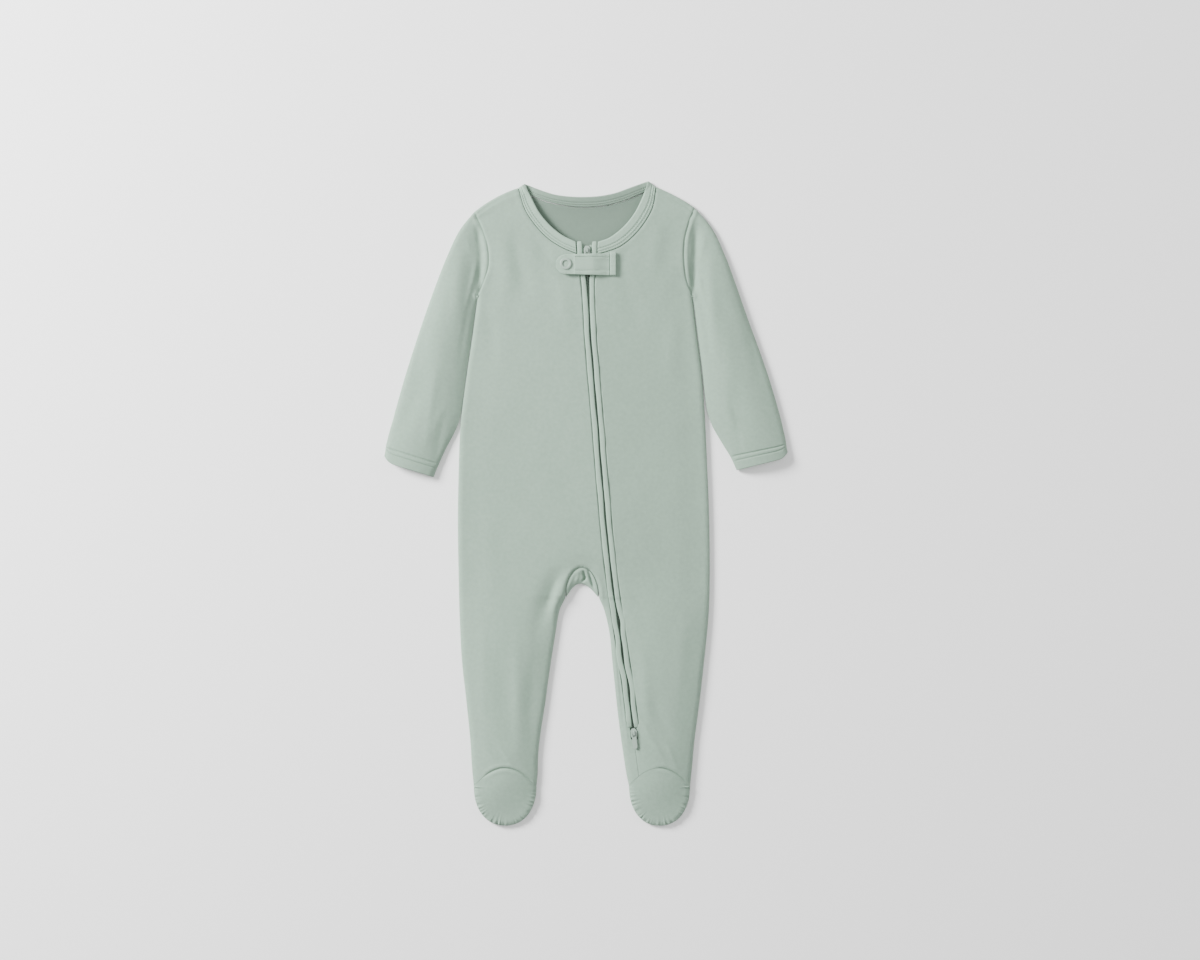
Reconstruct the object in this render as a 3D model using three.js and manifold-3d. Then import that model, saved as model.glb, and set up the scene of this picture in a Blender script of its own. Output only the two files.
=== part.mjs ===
// Footed baby sleepsuit in cotton jersey, laid flat on its back with the front up.
// Units are millimetres. X runs towards the wearer's left, Y towards the neck, Z up from the table.
// The origin is on the table, under the middle of the garment's outline.
// "right" and "left" in names are the wearer's own right and left.

import * as THREE from "three";
import { mergeVertices } from "three/addons/utils/BufferGeometryUtils.js";
import Module from "manifold-3d";

const wasm = await Module();
wasm.setup();

// Cloth
const CLOTH = 1.2; // wall of one jersey layer
const SEAM_GAP = 0.3; // between two pieces that are sewn together
const TURNING_GAP = 0.6; // the same, where the seam turns over the rolled edge
const HEM_WALL = 1.8; // sleeve hem, turned up once
const HEM_STEP = 0.4; // how far the turned hem stands above the sleeve
const BINDING_WALL = 2; // folded neck binding
const BINDING_STEP = 0.4; // how far the binding stands above the front panels

// How the flattened cloth rolls over at its edges and rises between them
const SEAM_HEIGHT = 2.6; // side seams above the table
const FRONT_ROLL = { width: 5, rise: 2.4 };
const BACK_ROLL = { width: 3.2 };
const TORSO_CROWN = 4.2;
const TENT_POWER = 1.15; // how the torso's crown falls off on each side of the zip
const LEG_CROWN = 5.6;
const SLEEVE_CROWN = 5;
const SILHOUETTE_FADE = 30; // the torso's crown dies out this near the outline
const LEGS_BLEND = { from: -48, to: -138 }; // the torso's crown parts into the legs' between these heights

// Outer edges of body and legs, from the underarms to the widest part of the feet
const BODY_EDGES = [
  { y: 193, right: -100.4, left: 98.5 },
  { y: 161, right: -104.6, left: 102.3 },
  { y: 120, right: -110.6, left: 107.4 },
  { y: 78, right: -116, left: 110.5 },
  { y: 40, right: -118, left: 112.3 },
  { y: -15, right: -119, left: 114.4 },
  { y: -71, right: -118.2, left: 114.9 },
  { y: -108, right: -117.2, left: 113.5 },
  { y: -146, right: -115.2, left: 109.7 },
  { y: -183, right: -111.1, left: 105.6 },
  { y: -220, right: -107.4, left: 100.7 },
  { y: -243, right: -106, left: 98.6 },
  { y: -262, right: -104.2, left: 96.6 },
];

// Inner edges of the legs, from the ends of the gusset to the feet
const INSEAMS = [
  { y: -88, right: -19.4, left: 12.4 },
  { y: -99, right: -24.6, left: 17 },
  { y: -121, right: -28.4, left: 22 },
  { y: -144, right: -32.1, left: 24.2 },
  { y: -166, right: -35.3, left: 26.5 },
  { y: -188, right: -38.3, left: 28.8 },
  { y: -211, right: -41.9, left: 31.6 },
  { y: -232, right: -44.3, left: 34.6 },
  { y: -250, right: -44.9, left: 37.4 },
  { y: -262, right: -46, left: 40 },
];

// Middle of the zip, from the neck to the left ankle
const ZIP_LINE = [
  { y: 250, x: 0.6 },
  { y: 206, x: 1.7 },
  { y: 189, x: 2.4 },
  { y: 145, x: 5 },
  { y: 84, x: 10.2 },
  { y: 32, x: 14.3 },
  { y: -19, x: 18.7 },
  { y: -60, x: 22.9 },
  { y: -88, x: 26.6 },
  { y: -128, x: 32.6 },
  { y: -169, x: 38.8 },
  { y: -206, x: 43.6 },
  { y: -225, x: 45.6 },
  { y: -262, x: 50.5 },
];

// Each welt's middle, out from the zip line: the welts part round the upper slider
const WELT_OFFSET = [
  { y: 250, x: 7.1 },
  { y: 240, x: 7 },
  { y: 226, x: 6 },
  { y: 206, x: 3.9 },
  { y: 188, x: 3.2 },
  { y: 165, x: 3.1 },
  { y: -262, x: 3.1 },
];
const WELT = { width: 4.8, above: 0.9, below: 1.7, top: 243, bottom: -207.5 };
const ZIP_END = { open: -214, closed: -228 }; // the slot between the panels closes here
const TAPE = { inner: 2.4, outer: 6.2, top: 2, wall: 1, from: 240, to: -226 };
const CHAIN = { half: 2, top: 2, wall: 1.4, from: 238, to: -224 };
const ZIP_TOP = 236; // above this, the zip's ends stand level

// Seams where the sleeves are set in, from the shoulder to the underarm
const ARMHOLES = {
  right: [[-103.7, 270.8], [-96.2, 254.9], [-91, 238], [-90.4, 221], [-95, 206], [-100.4, 193]],
  left: [[100.9, 274.3], [94.8, 258.5], [91.4, 243.8], [90.8, 227.4], [92.9, 209], [98.5, 193]],
};
const SHOULDERS = {
  right: [[-63.2, 293], [-76, 288], [-90.2, 280.4], [-103.7, 270.8]],
  left: [[65.4, 293.8], [79, 287.6], [92.1, 280.4], [100.9, 274.3]],
};
const NECK_TIPS = { right: [-56.7, 297.2], left: [57.7, 299.7] };

// Seam of the neck binding on each front panel, from the shoulder to the zip
const NECK_SEAMS = {
  right: [[-63.2, 293], [-56.7, 272.3], [-46.2, 256.7], [-34.5, 244.9], [-21.4, 236.6], [-8.8, 231.4]],
  left: [[65.4, 293.8], [62.1, 274.9], [55.5, 261.9], [43.8, 247.5], [30.8, 237.6], [10.6, 230.6]],
};
const NECK_FREE_EDGES = {
  right: [[-56.7, 297.2], [-51.4, 285.6], [-43.6, 270.6], [-33.2, 258], [-21.4, 248.6], [-9.6, 242.8]],
  left: [[57.7, 299.7], [52.4, 284.5], [45.1, 269.7], [34.7, 256.7], [21.7, 246.6], [11.2, 242.6]],
};
const BACK_NECK_SEAM = [[-63.2, 293], [-47.4, 284.1], [-33.5, 279.3], [-18.8, 276.2], [-5.8, 275],
  [15.1, 275.9], [34.7, 280.6], [49, 286.4], [65.4, 293.8]];
const BACK_NECK_FREE_EDGE = [[-56.7, 297.2], [-43.7, 291.6], [-28.8, 286.9], [-14.9, 285], [-0.9, 284.6],
  [13, 285.5], [27, 288.3], [41, 293.4], [57.7, 299.7]];

// Sleeves, one row for each section from the armhole to the hem: outer and inner folded edge
const SLEEVES = {
  right: [
    { outerX: -103.7, outerY: 270.8, innerX: -100.4, innerY: 193 },
    { outerX: -117.5, outerY: 253.5, innerX: -101.9, innerY: 186 },
    { outerX: -129, outerY: 229.5, innerX: -103.2, innerY: 176 },
    { outerX: -140.2, outerY: 201, innerX: -105.1, innerY: 162 },
    { outerX: -150, outerY: 173.5, innerX: -107.5, innerY: 146 },
    { outerX: -159, outerY: 146.5, innerX: -110.3, innerY: 127 },
    { outerX: -168, outerY: 118, innerX: -113.4, innerY: 104 },
    { outerX: -175.8, outerY: 90.7, innerX: -117, innerY: 80 },
    { outerX: -179.5, outerY: 77, innerX: -121.3, innerY: 68 },
    { outerX: -183, outerY: 65, innerX: -130.3, innerY: 50.5 },
    { outerX: -186.3, outerY: 51.5, innerX: -136.9, innerY: 36 },
    { outerX: -188.9, outerY: 39.4, innerX: -141.6, innerY: 24.6 },
  ],
  left: [
    { outerX: 100.9, outerY: 274.3, innerX: 98.5, innerY: 193 },
    { outerX: 117, outerY: 255.5, innerX: 99.9, innerY: 186 },
    { outerX: 129.3, outerY: 230, innerX: 101.2, innerY: 176 },
    { outerX: 140, outerY: 201, innerX: 102.9, innerY: 162 },
    { outerX: 149.6, outerY: 173.5, innerX: 104.9, innerY: 146 },
    { outerX: 159.5, outerY: 146.5, innerX: 107.4, innerY: 127 },
    { outerX: 169.4, outerY: 118, innerX: 109.9, innerY: 104 },
    { outerX: 177.6, outerY: 90.7, innerX: 113.2, innerY: 84 },
    { outerX: 181.5, outerY: 76, innerX: 117.6, innerY: 71.5 },
    { outerX: 184.3, outerY: 64, innerX: 126.8, innerY: 55.5 },
    { outerX: 186.4, outerY: 54, innerX: 134.4, innerY: 43 },
    { outerX: 188.9, outerY: 43, innerX: 140, innerY: 30.9 },
  ],
};
const HEM_SECTION = 10; // row of the tables above where the turned hem is stitched down
const HEM_FOLD = 0.06; // sections that the step up to the hem takes
const HEM_CORNER = { share: 0.22, x: 1.75, y: 4.7 }; // the hem's outer corner is rounded back this far
const CROWN_SECTION = 3.5; // the sleeve's crown is full from here on
const BOW_LENGTH = 0.22; // sections are bowed like the armhole over this share of the sleeve

// Crotch gusset: a half ellipse of seam on each side, folded over the crotch's edge
const GUSSET = {
  x: -3.5, y: -88, halfWidth: 15.9, seamRise: 28.7, edgeRise: 13.7,
  lean: -1.6, // the crotch's edge leans towards the right leg
  power: 2.4,
  tip: 0.42, // angle at which the folded edge's ends are cut off
};

// Feet: the toe is a superellipse, the toe cap's seam is an arc and the heel's a half ellipse
const FOOT = {
  y: -262,
  toe: { right: 37, left: 37.1 },
  toePower: 2.2,
  capRise: 17,
  heelRise: 72,
  instep: 8, // the foot's hump starts to fall off this far above the toe's widest part
};

// Largest folds, as soft ridges (height over 0) and troughs (under 0)
const BODY_FOLDS = [
  { x0: -12, y0: -52, x1: -36, y1: -120, width: 6, height: 1.2 },
  { x0: -27, y0: -58, x1: -46, y1: -112, width: 8, height: -1 },
  { x0: 10, y0: -52, x1: 17, y1: -96, width: 4, height: 0.7 },
  { x0: -72, y0: -150, x1: -66, y1: -232, width: 8, height: -0.9 },
  { x0: 52, y0: -120, x1: 58, y1: -225, width: 6, height: 0.8 },
  { x0: 60, y0: -176, x1: 80, y1: -226, width: 6, height: -0.8 },
  { x0: -74, y0: 262, x1: -72, y1: 205, width: 7, height: 0.7 },
  { x0: -44, y0: 244, x1: -34, y1: 196, width: 7, height: -0.6 },
  { x0: 70, y0: 262, x1: 60, y1: 205, width: 8, height: 0.6 },
];
const SLEEVE_FOLDS = [
  { x0: -100.5, y0: 262, x1: -97, y1: 226, width: 3.4, height: -2.2 },
  { x0: -97, y0: 238, x1: -99, y1: 186, width: 3.6, height: -3 },
  { x0: -116, y0: 236, x1: -122, y1: 160, width: 7, height: 1 },
  { x0: -146, y0: 128, x1: -172, y1: 62, width: 7, height: -0.8 },
  { x0: 102, y0: 260, x1: 101.5, y1: 226, width: 3.6, height: -2.2 },
  { x0: 101.5, y0: 238, x1: 99.5, y1: 186, width: 3.8, height: -3 },
  { x0: 112, y0: 232, x1: 122, y1: 130, width: 6, height: 1.1 },
  { x0: 136, y0: 120, x1: 148, y1: 60, width: 7, height: -0.8 },
];

// Tab that covers the upper slider, its sewn end and its snap
const TAB = {
  y: 221.6, roundX: -18.7, roundRadius: 9.2, endX: 21.8, halfAtEnd: 10.2,
  wall: 1.8, lift: 3.3, rampFrom: 9, rampTo: 17, roundTip: 0.8,
};
const TAB_END = { y: 222.4, from: 22.2, to: 27.9, half: 11, wall: 2.8 };
const SNAP = { x: -18.7, y: 222, outer: 5.4, inner: 2.9, ring: 1, studTop: 4.4, studBase: 5.2 };

// Zip sliders: body, bridge and the pull that hangs in it
const SLIDER = {
  length: 8.6, width: 6, above: 1, nose: 1.6, noseLength: 2.4, corner: 1.2,
  bridge: 1.4, bar: 0.7, chamfer: 0.6, sunk: 0.4, eyeHeight: 1.6, eyeLength: 3.2, eyeFoot: 0.05,
};
const PULL = {
  length: 14.5, width: 4.2, wall: 1, pin: 0.8, window: 2.6, windowLength: 3.6, rail: 0.8, flare: 1.4,
};
const UPPER_SLIDER_Y = 234.6;
const LOWER_SLIDER_Y = -212.6;

// Colours from the photo: sage jersey, a slightly lighter folded edge, sage-painted metal
const JERSEY = new THREE.MeshStandardMaterial({ color: 0xafbdb2, roughness: 0.92, metalness: 0 });
const FOLDED = new THREE.MeshStandardMaterial({ color: 0xb9c8be, roughness: 0.9, metalness: 0 });
const TAPE_CLOTH = new THREE.MeshStandardMaterial({ color: 0x93a396, roughness: 0.9, metalness: 0 });
const PAINTED = new THREE.MeshStandardMaterial({ color: 0xa9b8ac, roughness: 0.45, metalness: 0.1 });

const SIDES = ["right", "left"];
const clamp01 = (t) => Math.min(1, Math.max(0, t));
const lerp = (a, b, t) => a + (b - a) * t;
const mix = (p, q, t) => [lerp(p[0], q[0], t), lerp(p[1], q[1], t)];
const smooth = (from, to, v) => {
  const t = clamp01((v - from) / (to - from));
  return t * t * (3 - 2 * t);
};

// A column of a table as a smooth function of y: cubic pieces whose slopes come from the neighbours
function alongY(rows, column) {
  const r = [...rows].sort((a, b) => a.y - b.y);
  const slope = (i) => {
    const a = r[Math.max(0, i - 1)];
    const b = r[Math.min(r.length - 1, i + 1)];
    return (b[column] - a[column]) / (b.y - a.y);
  };
  return (y) => {
    let i = 0;
    while (i < r.length - 2 && y > r[i + 1].y) i++;
    const h = r[i + 1].y - r[i].y;
    const t = clamp01((y - r[i].y) / h);
    const t2 = t * t;
    const t3 = t2 * t;
    return (2 * t3 - 3 * t2 + 1) * r[i][column] + (t3 - 2 * t2 + t) * h * slope(i)
      + (3 * t2 - 2 * t3) * r[i + 1][column] + (t3 - t2) * h * slope(i + 1);
  };
}

// Smooth plan curves through points: as a function of the share of the length, and of the point's number
function splineOf(points) {
  return new THREE.CatmullRomCurve3(points.map(([x, y]) => new THREE.Vector3(x, y, 0)), false, "centripetal");
}
function curve(points) {
  const spline = splineOf(points);
  return (t) => {
    const p = spline.getPointAt(clamp01(t));
    return [p.x, p.y];
  };
}
function curveByNumber(points) {
  const spline = splineOf(points);
  return (s) => {
    const p = spline.getPoint(clamp01(s / (points.length - 1)));
    return [p.x, p.y];
  };
}

const samples = (from, to, count) => Array.from({ length: count + 1 }, (_, i) => lerp(from, to, i / count));
const bodyEdge = { right: alongY(BODY_EDGES, "right"), left: alongY(BODY_EDGES, "left") };
const inseam = { right: alongY(INSEAMS, "right"), left: alongY(INSEAMS, "left") };
const zipX = alongY(ZIP_LINE, "x");
const weltOffset = alongY(WELT_OFFSET, "x");
const armhole = { right: curve(ARMHOLES.right), left: curve(ARMHOLES.left) };
const shoulder = { right: curve(SHOULDERS.right), left: curve(SHOULDERS.left) };
const neckSeam = { right: curve(NECK_SEAMS.right), left: curve(NECK_SEAMS.left) };
const neckFreeEdge = { right: curve(NECK_FREE_EDGES.right), left: curve(NECK_FREE_EDGES.left) };
const backNeckSeam = curve(BACK_NECK_SEAM);
const backNeckFreeEdge = curve(BACK_NECK_FREE_EDGE);
const sleeveOuter = {};
const sleeveInner = {};
for (const side of SIDES) {
  sleeveOuter[side] = SLEEVES[side].map((s) => [s.outerX, s.outerY]);
  sleeveInner[side] = SLEEVES[side].map((s) => [s.innerX, s.innerY]);
}

// Half of the slot that the panels leave along the zip
function slotHalf(y) {
  const open = weltOffset(y) + WELT.width / 2 + SEAM_GAP;
  return lerp(SEAM_GAP / 2, open, smooth(ZIP_END.closed, ZIP_END.open, y));
}

// Crotch: the gusset's seam and the folded edge, for an angle from 0 (left leg) to pi (right leg)
const gussetSeam = (angle) => [
  GUSSET.x + GUSSET.halfWidth * Math.cos(angle),
  GUSSET.y + GUSSET.seamRise * Math.sin(angle),
];
const crotchEdge = (angle) => [
  GUSSET.x + GUSSET.lean * Math.sin(angle) ** 3 + GUSSET.halfWidth * Math.cos(angle),
  GUSSET.y + GUSSET.edgeRise * Math.sin(angle) ** GUSSET.power,
];

// The toe's outline for an angle from 0 (inner side of the foot) to pi (outer side)
function toeEdge(side, angle) {
  const outer = bodyEdge[side](FOOT.y);
  const inner = inseam[side](FOOT.y);
  const across = Math.sign(Math.cos(angle)) * Math.abs(Math.cos(angle)) ** (2 / FOOT.toePower);
  return [
    (outer + inner) / 2 + ((inner - outer) / 2) * across,
    FOOT.y - FOOT.toe[side] * Math.sin(angle) ** (2 / FOOT.toePower),
  ];
}

// The garment's outline, in stretches that run with the cloth on their left
const sideStretch = (side) => samples(BODY_EDGES[0].y, FOOT.y, 60).map((y) => [bodyEdge[side](y), y]);
const innerStretch = (side) => samples(GUSSET.y, FOOT.y, 30).map((y) => [inseam[side](y), y]);
const toeStretch = (side) => samples(Math.PI, 0, 32).map((angle) => toeEdge(side, angle));
const crotchStretch = samples(Math.PI, 0, 24).map(crotchEdge);
const lowerOutline = [
  ...sideStretch("right"), ...toeStretch("right").slice(1), ...innerStretch("right").reverse().slice(1),
  ...crotchStretch.slice(1), ...innerStretch("left").slice(1), ...toeStretch("left").reverse().slice(1),
  ...sideStretch("left").reverse().slice(1),
];
const topStretch = (side) => samples(0, 1, 70)
  .map(curve([NECK_TIPS[side], ...SHOULDERS[side], ...sleeveOuter[side].slice(1)]));
const topOutline = { right: topStretch("right"), left: topStretch("left").reverse() };
const sleeveInnerStretch = (side) => samples(0, 1, 40).map(curve(sleeveInner[side]));
const sleeveInnerOutline = { right: sleeveInnerStretch("right").reverse(), left: sleeveInnerStretch("left") };
const bodyOutline = [lowerOutline, topOutline.right, topOutline.left];
const sleeveOutline = {
  right: [topOutline.right, sleeveInnerOutline.right],
  left: [topOutline.left, sleeveInnerOutline.left],
};

// Outward normals at the points of an outline's stretch
function outwardNormals(path) {
  return path.map((_, i) => {
    const a = path[Math.max(0, i - 1)];
    const b = path[Math.min(path.length - 1, i + 1)];
    const length = Math.hypot(b[0] - a[0], b[1] - a[1]) || 1;
    return [(b[1] - a[1]) / length, -(b[0] - a[0]) / length];
  });
}
const stretches = [lowerOutline, ...Object.values(topOutline), ...Object.values(sleeveInnerOutline)];
const normalsOf = new Map(stretches.map((path) => [path, outwardNormals(path)]));

// How far a plan point is from an outline, and the way out there
function toOutline(outline, [x, y]) {
  let best = { distance: Infinity, out: [0, 0] };
  for (const path of outline) {
    const normals = normalsOf.get(path);
    for (let i = 0; i < path.length - 1; i++) {
      const [ax, ay] = path[i];
      const dx = path[i + 1][0] - ax;
      const dy = path[i + 1][1] - ay;
      const t = clamp01(((x - ax) * dx + (y - ay) * dy) / (dx * dx + dy * dy || 1));
      const qx = ax + dx * t;
      const qy = ay + dy * t;
      const distance = Math.hypot(x - qx, y - qy);
      if (distance >= best.distance) continue;
      const n = mix(normals[i], normals[i + 1], t);
      const length = Math.hypot(n[0], n[1]) || 1;
      best = { distance, out: [n[0] / length, n[1] / length] };
    }
  }
  return best;
}

// Height that soft ridges and troughs add at a plan point
function foldHeight(folds, [x, y]) {
  let sum = 0;
  for (const f of folds) {
    const dx = f.x1 - f.x0;
    const dy = f.y1 - f.y0;
    const along = ((x - f.x0) * dx + (y - f.y0) * dy) / (dx * dx + dy * dy);
    if (along <= 0 || along >= 1) continue;
    const across = ((x - f.x0) * dy - (y - f.y0) * dx) / Math.hypot(dx, dy);
    sum += f.height * Math.sin(Math.PI * along) * Math.exp(-((across / f.width) ** 2));
  }
  return sum;
}

// Share of the way across a leg, from its outer edge to its inner edge
function acrossLeg(side, [x, y]) {
  const outer = bodyEdge[side](y);
  const inner = y > GUSSET.y ? GUSSET.x : inseam[side](y);
  return clamp01((x - outer) / (inner - outer));
}

// Rise of the body between its edges: a low tent along the zip, which parts into a hump on each leg
function bodyCrown(p, distance) {
  const [x, y] = p;
  const side = x < (y > GUSSET.y ? GUSSET.x : 0) ? "right" : "left";
  const edgeX = bodyEdge[x < zipX(y) ? "right" : "left"](Math.min(y, BODY_EDGES[0].y));
  const away = Math.min(1, Math.abs(x - zipX(y)) / Math.abs(edgeX - zipX(y)));
  const tent = TORSO_CROWN * (1 - away ** TENT_POWER) * smooth(0, SILHOUETTE_FADE, distance);
  const t = acrossLeg(side, p);
  const toe = smooth(FOOT.y - FOOT.toe[side], FOOT.y + FOOT.instep, y);
  const hump = LEG_CROWN * 4 * t * (1 - t) * toe;
  const legShare = 1 - smooth(LEGS_BLEND.to, LEGS_BLEND.from, y);
  return lerp(tent, hump, legShare);
}

// Edge roll: sine and cosine of the angle that the cloth has turned through at this distance
function roll(distance, width) {
  const cos = 1 - clamp01(distance / width);
  return { cos, sin: Math.sqrt(1 - cos * cos) };
}

// A point of the upper layer's outside, with the direction that faces out
function upperPoint(p, outline, crown, folds) {
  const { distance, out } = toOutline(outline, p);
  const { cos, sin } = roll(distance, FRONT_ROLL.width);
  const z = SEAM_HEIGHT + SEAM_GAP / 2 + FRONT_ROLL.rise * sin
    + crown(p, distance) + foldHeight(folds, p) * smooth(0, FRONT_ROLL.width, distance);
  const side = cos / FRONT_ROLL.width;
  const normal = new THREE.Vector3(out[0] * side, out[1] * side, sin / FRONT_ROLL.rise).normalize();
  return { at: new THREE.Vector3(p[0], p[1], z), normal };
}

// The same for the lower layer, which lies on the table
function lowerPoint(p, outline) {
  const { distance, out } = toOutline(outline, p);
  const { cos, sin } = roll(distance, BACK_ROLL.width);
  const height = SEAM_HEIGHT - SEAM_GAP / 2;
  const side = cos / BACK_ROLL.width;
  const normal = new THREE.Vector3(out[0] * side, out[1] * side, -sin / height).normalize();
  return { at: new THREE.Vector3(p[0], p[1], height * (1 - sin)), normal };
}

const front = (p) => upperPoint(p, bodyOutline, bodyCrown, BODY_FOLDS);
const back = (p) => lowerPoint(p, bodyOutline);
const frontHeight = (p) => front(p).at.z;

function geometryOf(points, faces) {
  const geometry = new THREE.BufferGeometry();
  geometry.setAttribute("position", new THREE.Float32BufferAttribute(points.flatMap((v) => v.toArray()), 3));
  geometry.setIndex(faces);
  return geometry;
}

const sidesOf = ([p, q, r]) => [[p, q], [q, r], [r, p]];

// Above zero where a patch's rows and columns turn the same way as its normals
function facing(rows) {
  let sum = 0;
  for (let i = 0; i < rows.length - 1; i++)
    for (let j = 0; j < rows[i].length - 1; j++) {
      const across = rows[i][j + 1].at.clone().sub(rows[i][j].at);
      const down = rows[i + 1][j].at.clone().sub(rows[i][j].at);
      sum += across.cross(down).dot(rows[i][j].normal);
    }
  return sum;
}

// A cloth wall from patches of outer points: each patch is rows of {at, normal}, and the inside is
// set in by the wall. Points that patches share are joined, and open edges are closed between the two sides.
function wall(patches, { thickness = CLOTH, ring = false } = {}) {
  const outer = [];
  const inner = [];
  const known = new Map();
  const index = (point) => {
    const key = point.at.toArray().map((v) => Math.round(v * 1000)).join(",");
    if (!known.has(key)) {
      known.set(key, outer.length);
      outer.push(point.at);
      inner.push(point.at.clone().addScaledVector(point.normal, -(point.wall ?? thickness)));
    }
    return known.get(key);
  };
  const triangles = [];
  for (const rows of patches) {
    const grid = rows.map((row) => row.map(index));
    const turn = facing(rows) > 0 ? ([p, q, r]) => [p, q, r] : ([p, q, r]) => [p, r, q];
    const size = rows[0].length;
    for (let i = 0; i < rows.length - 1; i++)
      for (let j = 0; j < (ring ? size : size - 1); j++) {
        const [a, b] = [grid[i][j], grid[i][(j + 1) % size]];
        const [d, c] = [grid[i + 1][j], grid[i + 1][(j + 1) % size]];
        const halves = outer[a].distanceTo(outer[c]) < outer[b].distanceTo(outer[d])
          ? [[a, b, c], [a, c, d]] : [[a, b, d], [b, c, d]];
        triangles.push(...halves.filter((t) => new Set(t).size === 3).map(turn));
      }
  }
  const count = outer.length;
  const edges = new Set(triangles.flatMap(sidesOf).map(String));
  const faces = [];
  for (const triangle of triangles) {
    const [p, q, r] = triangle;
    faces.push(p, q, r, p + count, r + count, q + count);
    for (const [a, b] of sidesOf(triangle))
      if (!edges.has(String([b, a]))) faces.push(b, a, a + count, b, a + count, b + count);
  }
  return geometryOf([...outer, ...inner], faces);
}

// A strip lofted through closed rings of points, with a flat cap at each end
function loft(rings) {
  const size = rings[0].length;
  const faces = [];
  for (let i = 0; i < rings.length - 1; i++)
    for (let j = 0; j < size; j++) {
      const a = i * size + j;
      const b = i * size + ((j + 1) % size);
      faces.push(a, b, a + size, b, b + size, a + size);
    }
  const last = (rings.length - 1) * size;
  for (let j = 1; j < size - 1; j++) faces.push(0, j + 1, j, last, last + j, last + j + 1);
  const points = rings.flat();
  let volume = 0;
  for (let i = 0; i < faces.length; i += 3)
    volume += points[faces[i]].dot(points[faces[i + 1]].clone().cross(points[faces[i + 2]]));
  if (volume < 0) faces.reverse();
  return geometryOf(points, faces);
}

// Joins closed geometries into one solid
function joined(...geometries) {
  const solids = geometries.map((g) => {
    const bare = g.clone();
    for (const name of ["normal", "uv"]) bare.deleteAttribute(name);
    const merged = mergeVertices(bare, 1e-4);
    return new wasm.Manifold(new wasm.Mesh({
      numProp: 3,
      vertProperties: merged.attributes.position.array,
      triVerts: new Uint32Array(merged.index.array),
    }));
  });
  const mesh = solids.reduce((a, b) => a.add(b)).getMesh();
  const geometry = new THREE.BufferGeometry();
  geometry.setAttribute("position", new THREE.Float32BufferAttribute(mesh.vertProperties, 3));
  geometry.setIndex([...mesh.triVerts]);
  return geometry;
}

// Shares along a row or column, close together where the cloth rolls over
const EDGE_SHARES = [0, 0.01, 0.035, 0.08];
const mirrored = (list) => list.map((s) => 1 - s).reverse();
const ARMHOLE_SHARES = [0, 0.012, 0.04, 0.09, 0.2, 0.38, 0.56, 0.74, 0.88, 0.96, 1];
const SHOULDER_SHARES = [0, 0.012, 0.05, 0.12, 0.35, 0.68, 1];
const NECK_SHARES = [0.05, 0.15, 0.32, 0.5, 0.66, 0.83, 1];
const STRIP_SHARES = [0, 0.12, 0.4, 1];
const TORSO_YS = [193, 150, 105, 60, 15, -25, -48];
const CROTCH_TOP = GUSSET.y + GUSSET.seamRise;
const ARCH_ANGLES = [90, 72, 54, 36, 18, 0].map((degrees) => (degrees * Math.PI) / 180);
const ARCH_YS = ARCH_ANGLES.map((angle) => gussetSeam(angle)[1]);
const LEG_ROWS = [
  { side: -108, middle: -108 },
  { side: -134, middle: -134 },
  { side: -162, middle: -160 },
  { side: -190, middle: -186 },
  { side: -214, middle: -206 },
  { side: -230, middle: -220 },
  { side: -246, middle: -233 },
  { side: FOOT.y, middle: FOOT.y + FOOT.capRise },
];
const BACK_LEG_ROWS = [
  { side: -118, middle: -112 },
  { side: -150, middle: -134 },
  { side: -186, middle: -154 },
  { side: -222, middle: -172 },
  { side: FOOT.y, middle: FOOT.y + FOOT.heelRise },
];

// Columns of the front panels, from the outer edge to the zip: shares of the shoulder, then of the neck.
// The crotch parts the right panel's columns: the first ones go down the right leg.
const LEFT_NECK = 0.4;
const RIGHT_SPLIT = 0.82;
const RIGHT_NECK = 0.41;
const RIGHT_EDGE = 0.72; // the shares past this one are those of the right leg's inner edge
const NECK_AT = { left: LEFT_NECK, right: RIGHT_NECK };
const COLUMNS = {
  left: [
    ...SHOULDER_SHARES.map((s) => s * LEFT_NECK),
    ...NECK_SHARES.map((s) => lerp(LEFT_NECK, 1, s)),
  ],
  right: [
    ...SHOULDER_SHARES.map((s) => s * RIGHT_NECK),
    ...NECK_SHARES.map((s) => lerp(RIGHT_NECK, 1, s)).filter((u) => u < RIGHT_EDGE),
    ...mirrored(EDGE_SHARES).map((s) => s * RIGHT_SPLIT),
    ...STRIP_SHARES.slice(1).map((s) => lerp(RIGHT_SPLIT, 1, s)),
  ],
};
const SPLIT_COLUMN = COLUMNS.right.indexOf(RIGHT_SPLIT);
const RIGHT_LEG_SHARES = COLUMNS.right.slice(0, SPLIT_COLUMN + 1).map((u) => u / RIGHT_SPLIT);
const neckShares = (side) => COLUMNS[side].filter((u) => u >= NECK_AT[side])
  .map((u) => (u - NECK_AT[side]) / (1 - NECK_AT[side]));

// Columns of one half of the back panel, from its outer edge to the middle
const BACK_NECK = 0.62;
const BACK_NECK_SHARES = [0.04, 0.12, 0.3, 0.5];
const BACK_HALF = [
  ...SHOULDER_SHARES.map((s) => s * BACK_NECK),
  ...BACK_NECK_SHARES.map((s) => BACK_NECK + s * 2 * (1 - BACK_NECK)),
];

// A leg's plan point: rows bend like the toe cap's seam, or like the heel's on the back
const capBend = (t) => Math.sin(Math.PI * clamp01(t));
const heelBend = (t) => Math.sqrt(Math.max(0, 1 - (2 * clamp01(t) - 1) ** 2));
function legPoint(side, row, t, bend) {
  const y = lerp(row.side, row.middle, bend(t));
  return [lerp(bodyEdge[side](y), inseam[side](y), t), y];
}

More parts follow.
